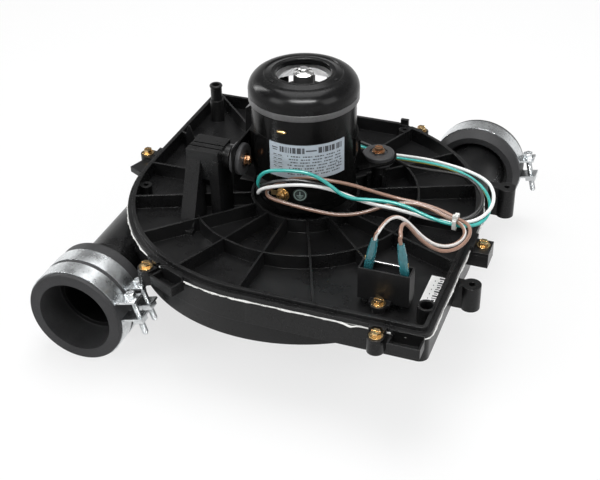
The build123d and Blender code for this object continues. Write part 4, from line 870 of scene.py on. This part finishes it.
# ---------------------------------------------------------------------------
# Run capacitor: moulded black case filled with resin, two brass blades with
# push-on connectors under blue-green vinyl sleeves, one screw in front.
# ---------------------------------------------------------------------------
dress(finish("case_plastic", (0.0085, 0.0085, 0.009), 0.42, specular=0.25, grain=1200.0, bump=0.15,
             specks=0.3, edge=0.0004), "capacitor_case")
dress(finish("potting_resin", (0.012, 0.012, 0.013), 0.22, grain=150.0, bump=0.3, specks=0.1),
      "capacitor_fill")
dress(yellow_zinc, "capacitor_screw")
teal = finish("sleeve_vinyl", (0.05, 0.27, 0.31), 0.13, specular=0.5, grain=350.0, bump=0.1, specks=0.1,
              clouds=0.3, edge=0.0006)
teal.node_tree.nodes["Principled BSDF"].inputs["Transmission Weight"].default_value = 0.5
teal.node_tree.nodes["Principled BSDF"].inputs["Coat Weight"].default_value = 0.4
dress(teal, "terminal_sleeves")
bar_mesh = bmesh.new()
bar = bmesh.ops.create_cube(bar_mesh, size=1.0)["verts"]
bmesh.ops.scale(bar_mesh, verts=bar, vec=(0.0262, 0.0011, 0.0012))
bmesh.ops.translate(bar_mesh, verts=bar, vec=(0.1012, -0.1013, 0.0662))
bmesh.ops.bevel(bar_mesh, geom=list(bar_mesh.edges), offset=0.0003, segments=2, affect="EDGES",
                profile=0.5, material=-1)
solid(bar_mesh, "capacitor_edge_strip", clear_zinc)


# ---------------------------------------------------------------------------
# Corner label: white paper sticker on the cover floor with a plain row of
# printed blocks and dots.
# ---------------------------------------------------------------------------
paper = finish("label_paper", (0.9, 0.9, 0.89), 0.5, specular=0.3, grain=600.0, bump=0.05, specks=0.03,
               clouds=0.03)
dress(paper, "part_label")
block_ink = finish("block_ink", (0.03, 0.03, 0.035), 0.55, grain=2500.0, bump=0.02, specks=0.5)
dots = bmesh.new()
print_height = 0.03636


def printed_dash(x, y, wide, tall):
    """Small flat bar of print on the label, in millimetres."""
    dash = bmesh.ops.create_grid(dots, x_segments=1, y_segments=1, size=0.5)["verts"]
    bmesh.ops.scale(dots, verts=dash, vec=(wide * 0.001, tall * 0.001, 1.0))
    bmesh.ops.translate(dots, verts=dash, vec=(x * 0.001, y * 0.001, print_height))


for number in range(11):
    y = -94.0 + number * 2.75
    printed_dash(133.5, y, 3.64 if number % 3 else 2.1, 0.9 if number % 2 else 1.7)
    if number % 2:
        printed_dash(129.2, y - 1.0, 0.7, 1.2)
solid(dots, "corner_label_print", block_ink)


# ---------------------------------------------------------------------------
# Tie and plug: a natural nylon cable tie round the five wires, and a nylon
# housing on the ends of the three supply wires, which waits for its socket.
# ---------------------------------------------------------------------------
nylon = finish("natural_nylon", (0.74, 0.74, 0.71), 0.35, grain=500.0, bump=0.08, specks=0.05,
               edge=0.0005)
dress(nylon, "wire_tie", "harness_plug")
tail_mesh = bmesh.new()
tail = bmesh.ops.create_cube(tail_mesh, size=1.0)["verts"]
bmesh.ops.scale(tail_mesh, verts=tail, vec=(0.0022, 0.0048, 0.0009))
bmesh.ops.rotate(tail_mesh, verts=tail, cent=(0, 0, 0),
                 matrix=Matrix.Rotation(math.radians(-24.0), 3, "X"))
bmesh.ops.translate(tail_mesh, verts=tail, vec=(0.1305, -0.0257, 0.0672))
bmesh.ops.bevel(tail_mesh, geom=list(tail_mesh.edges), offset=0.0002, segments=2, affect="EDGES",
                profile=0.5, material=-1)
solid(tail_mesh, "tie_tail", nylon)


# ---------------------------------------------------------------------------
# Colour: the standard view transform.
# ---------------------------------------------------------------------------
bpy.context.scene.view_settings.view_transform = "Standard"
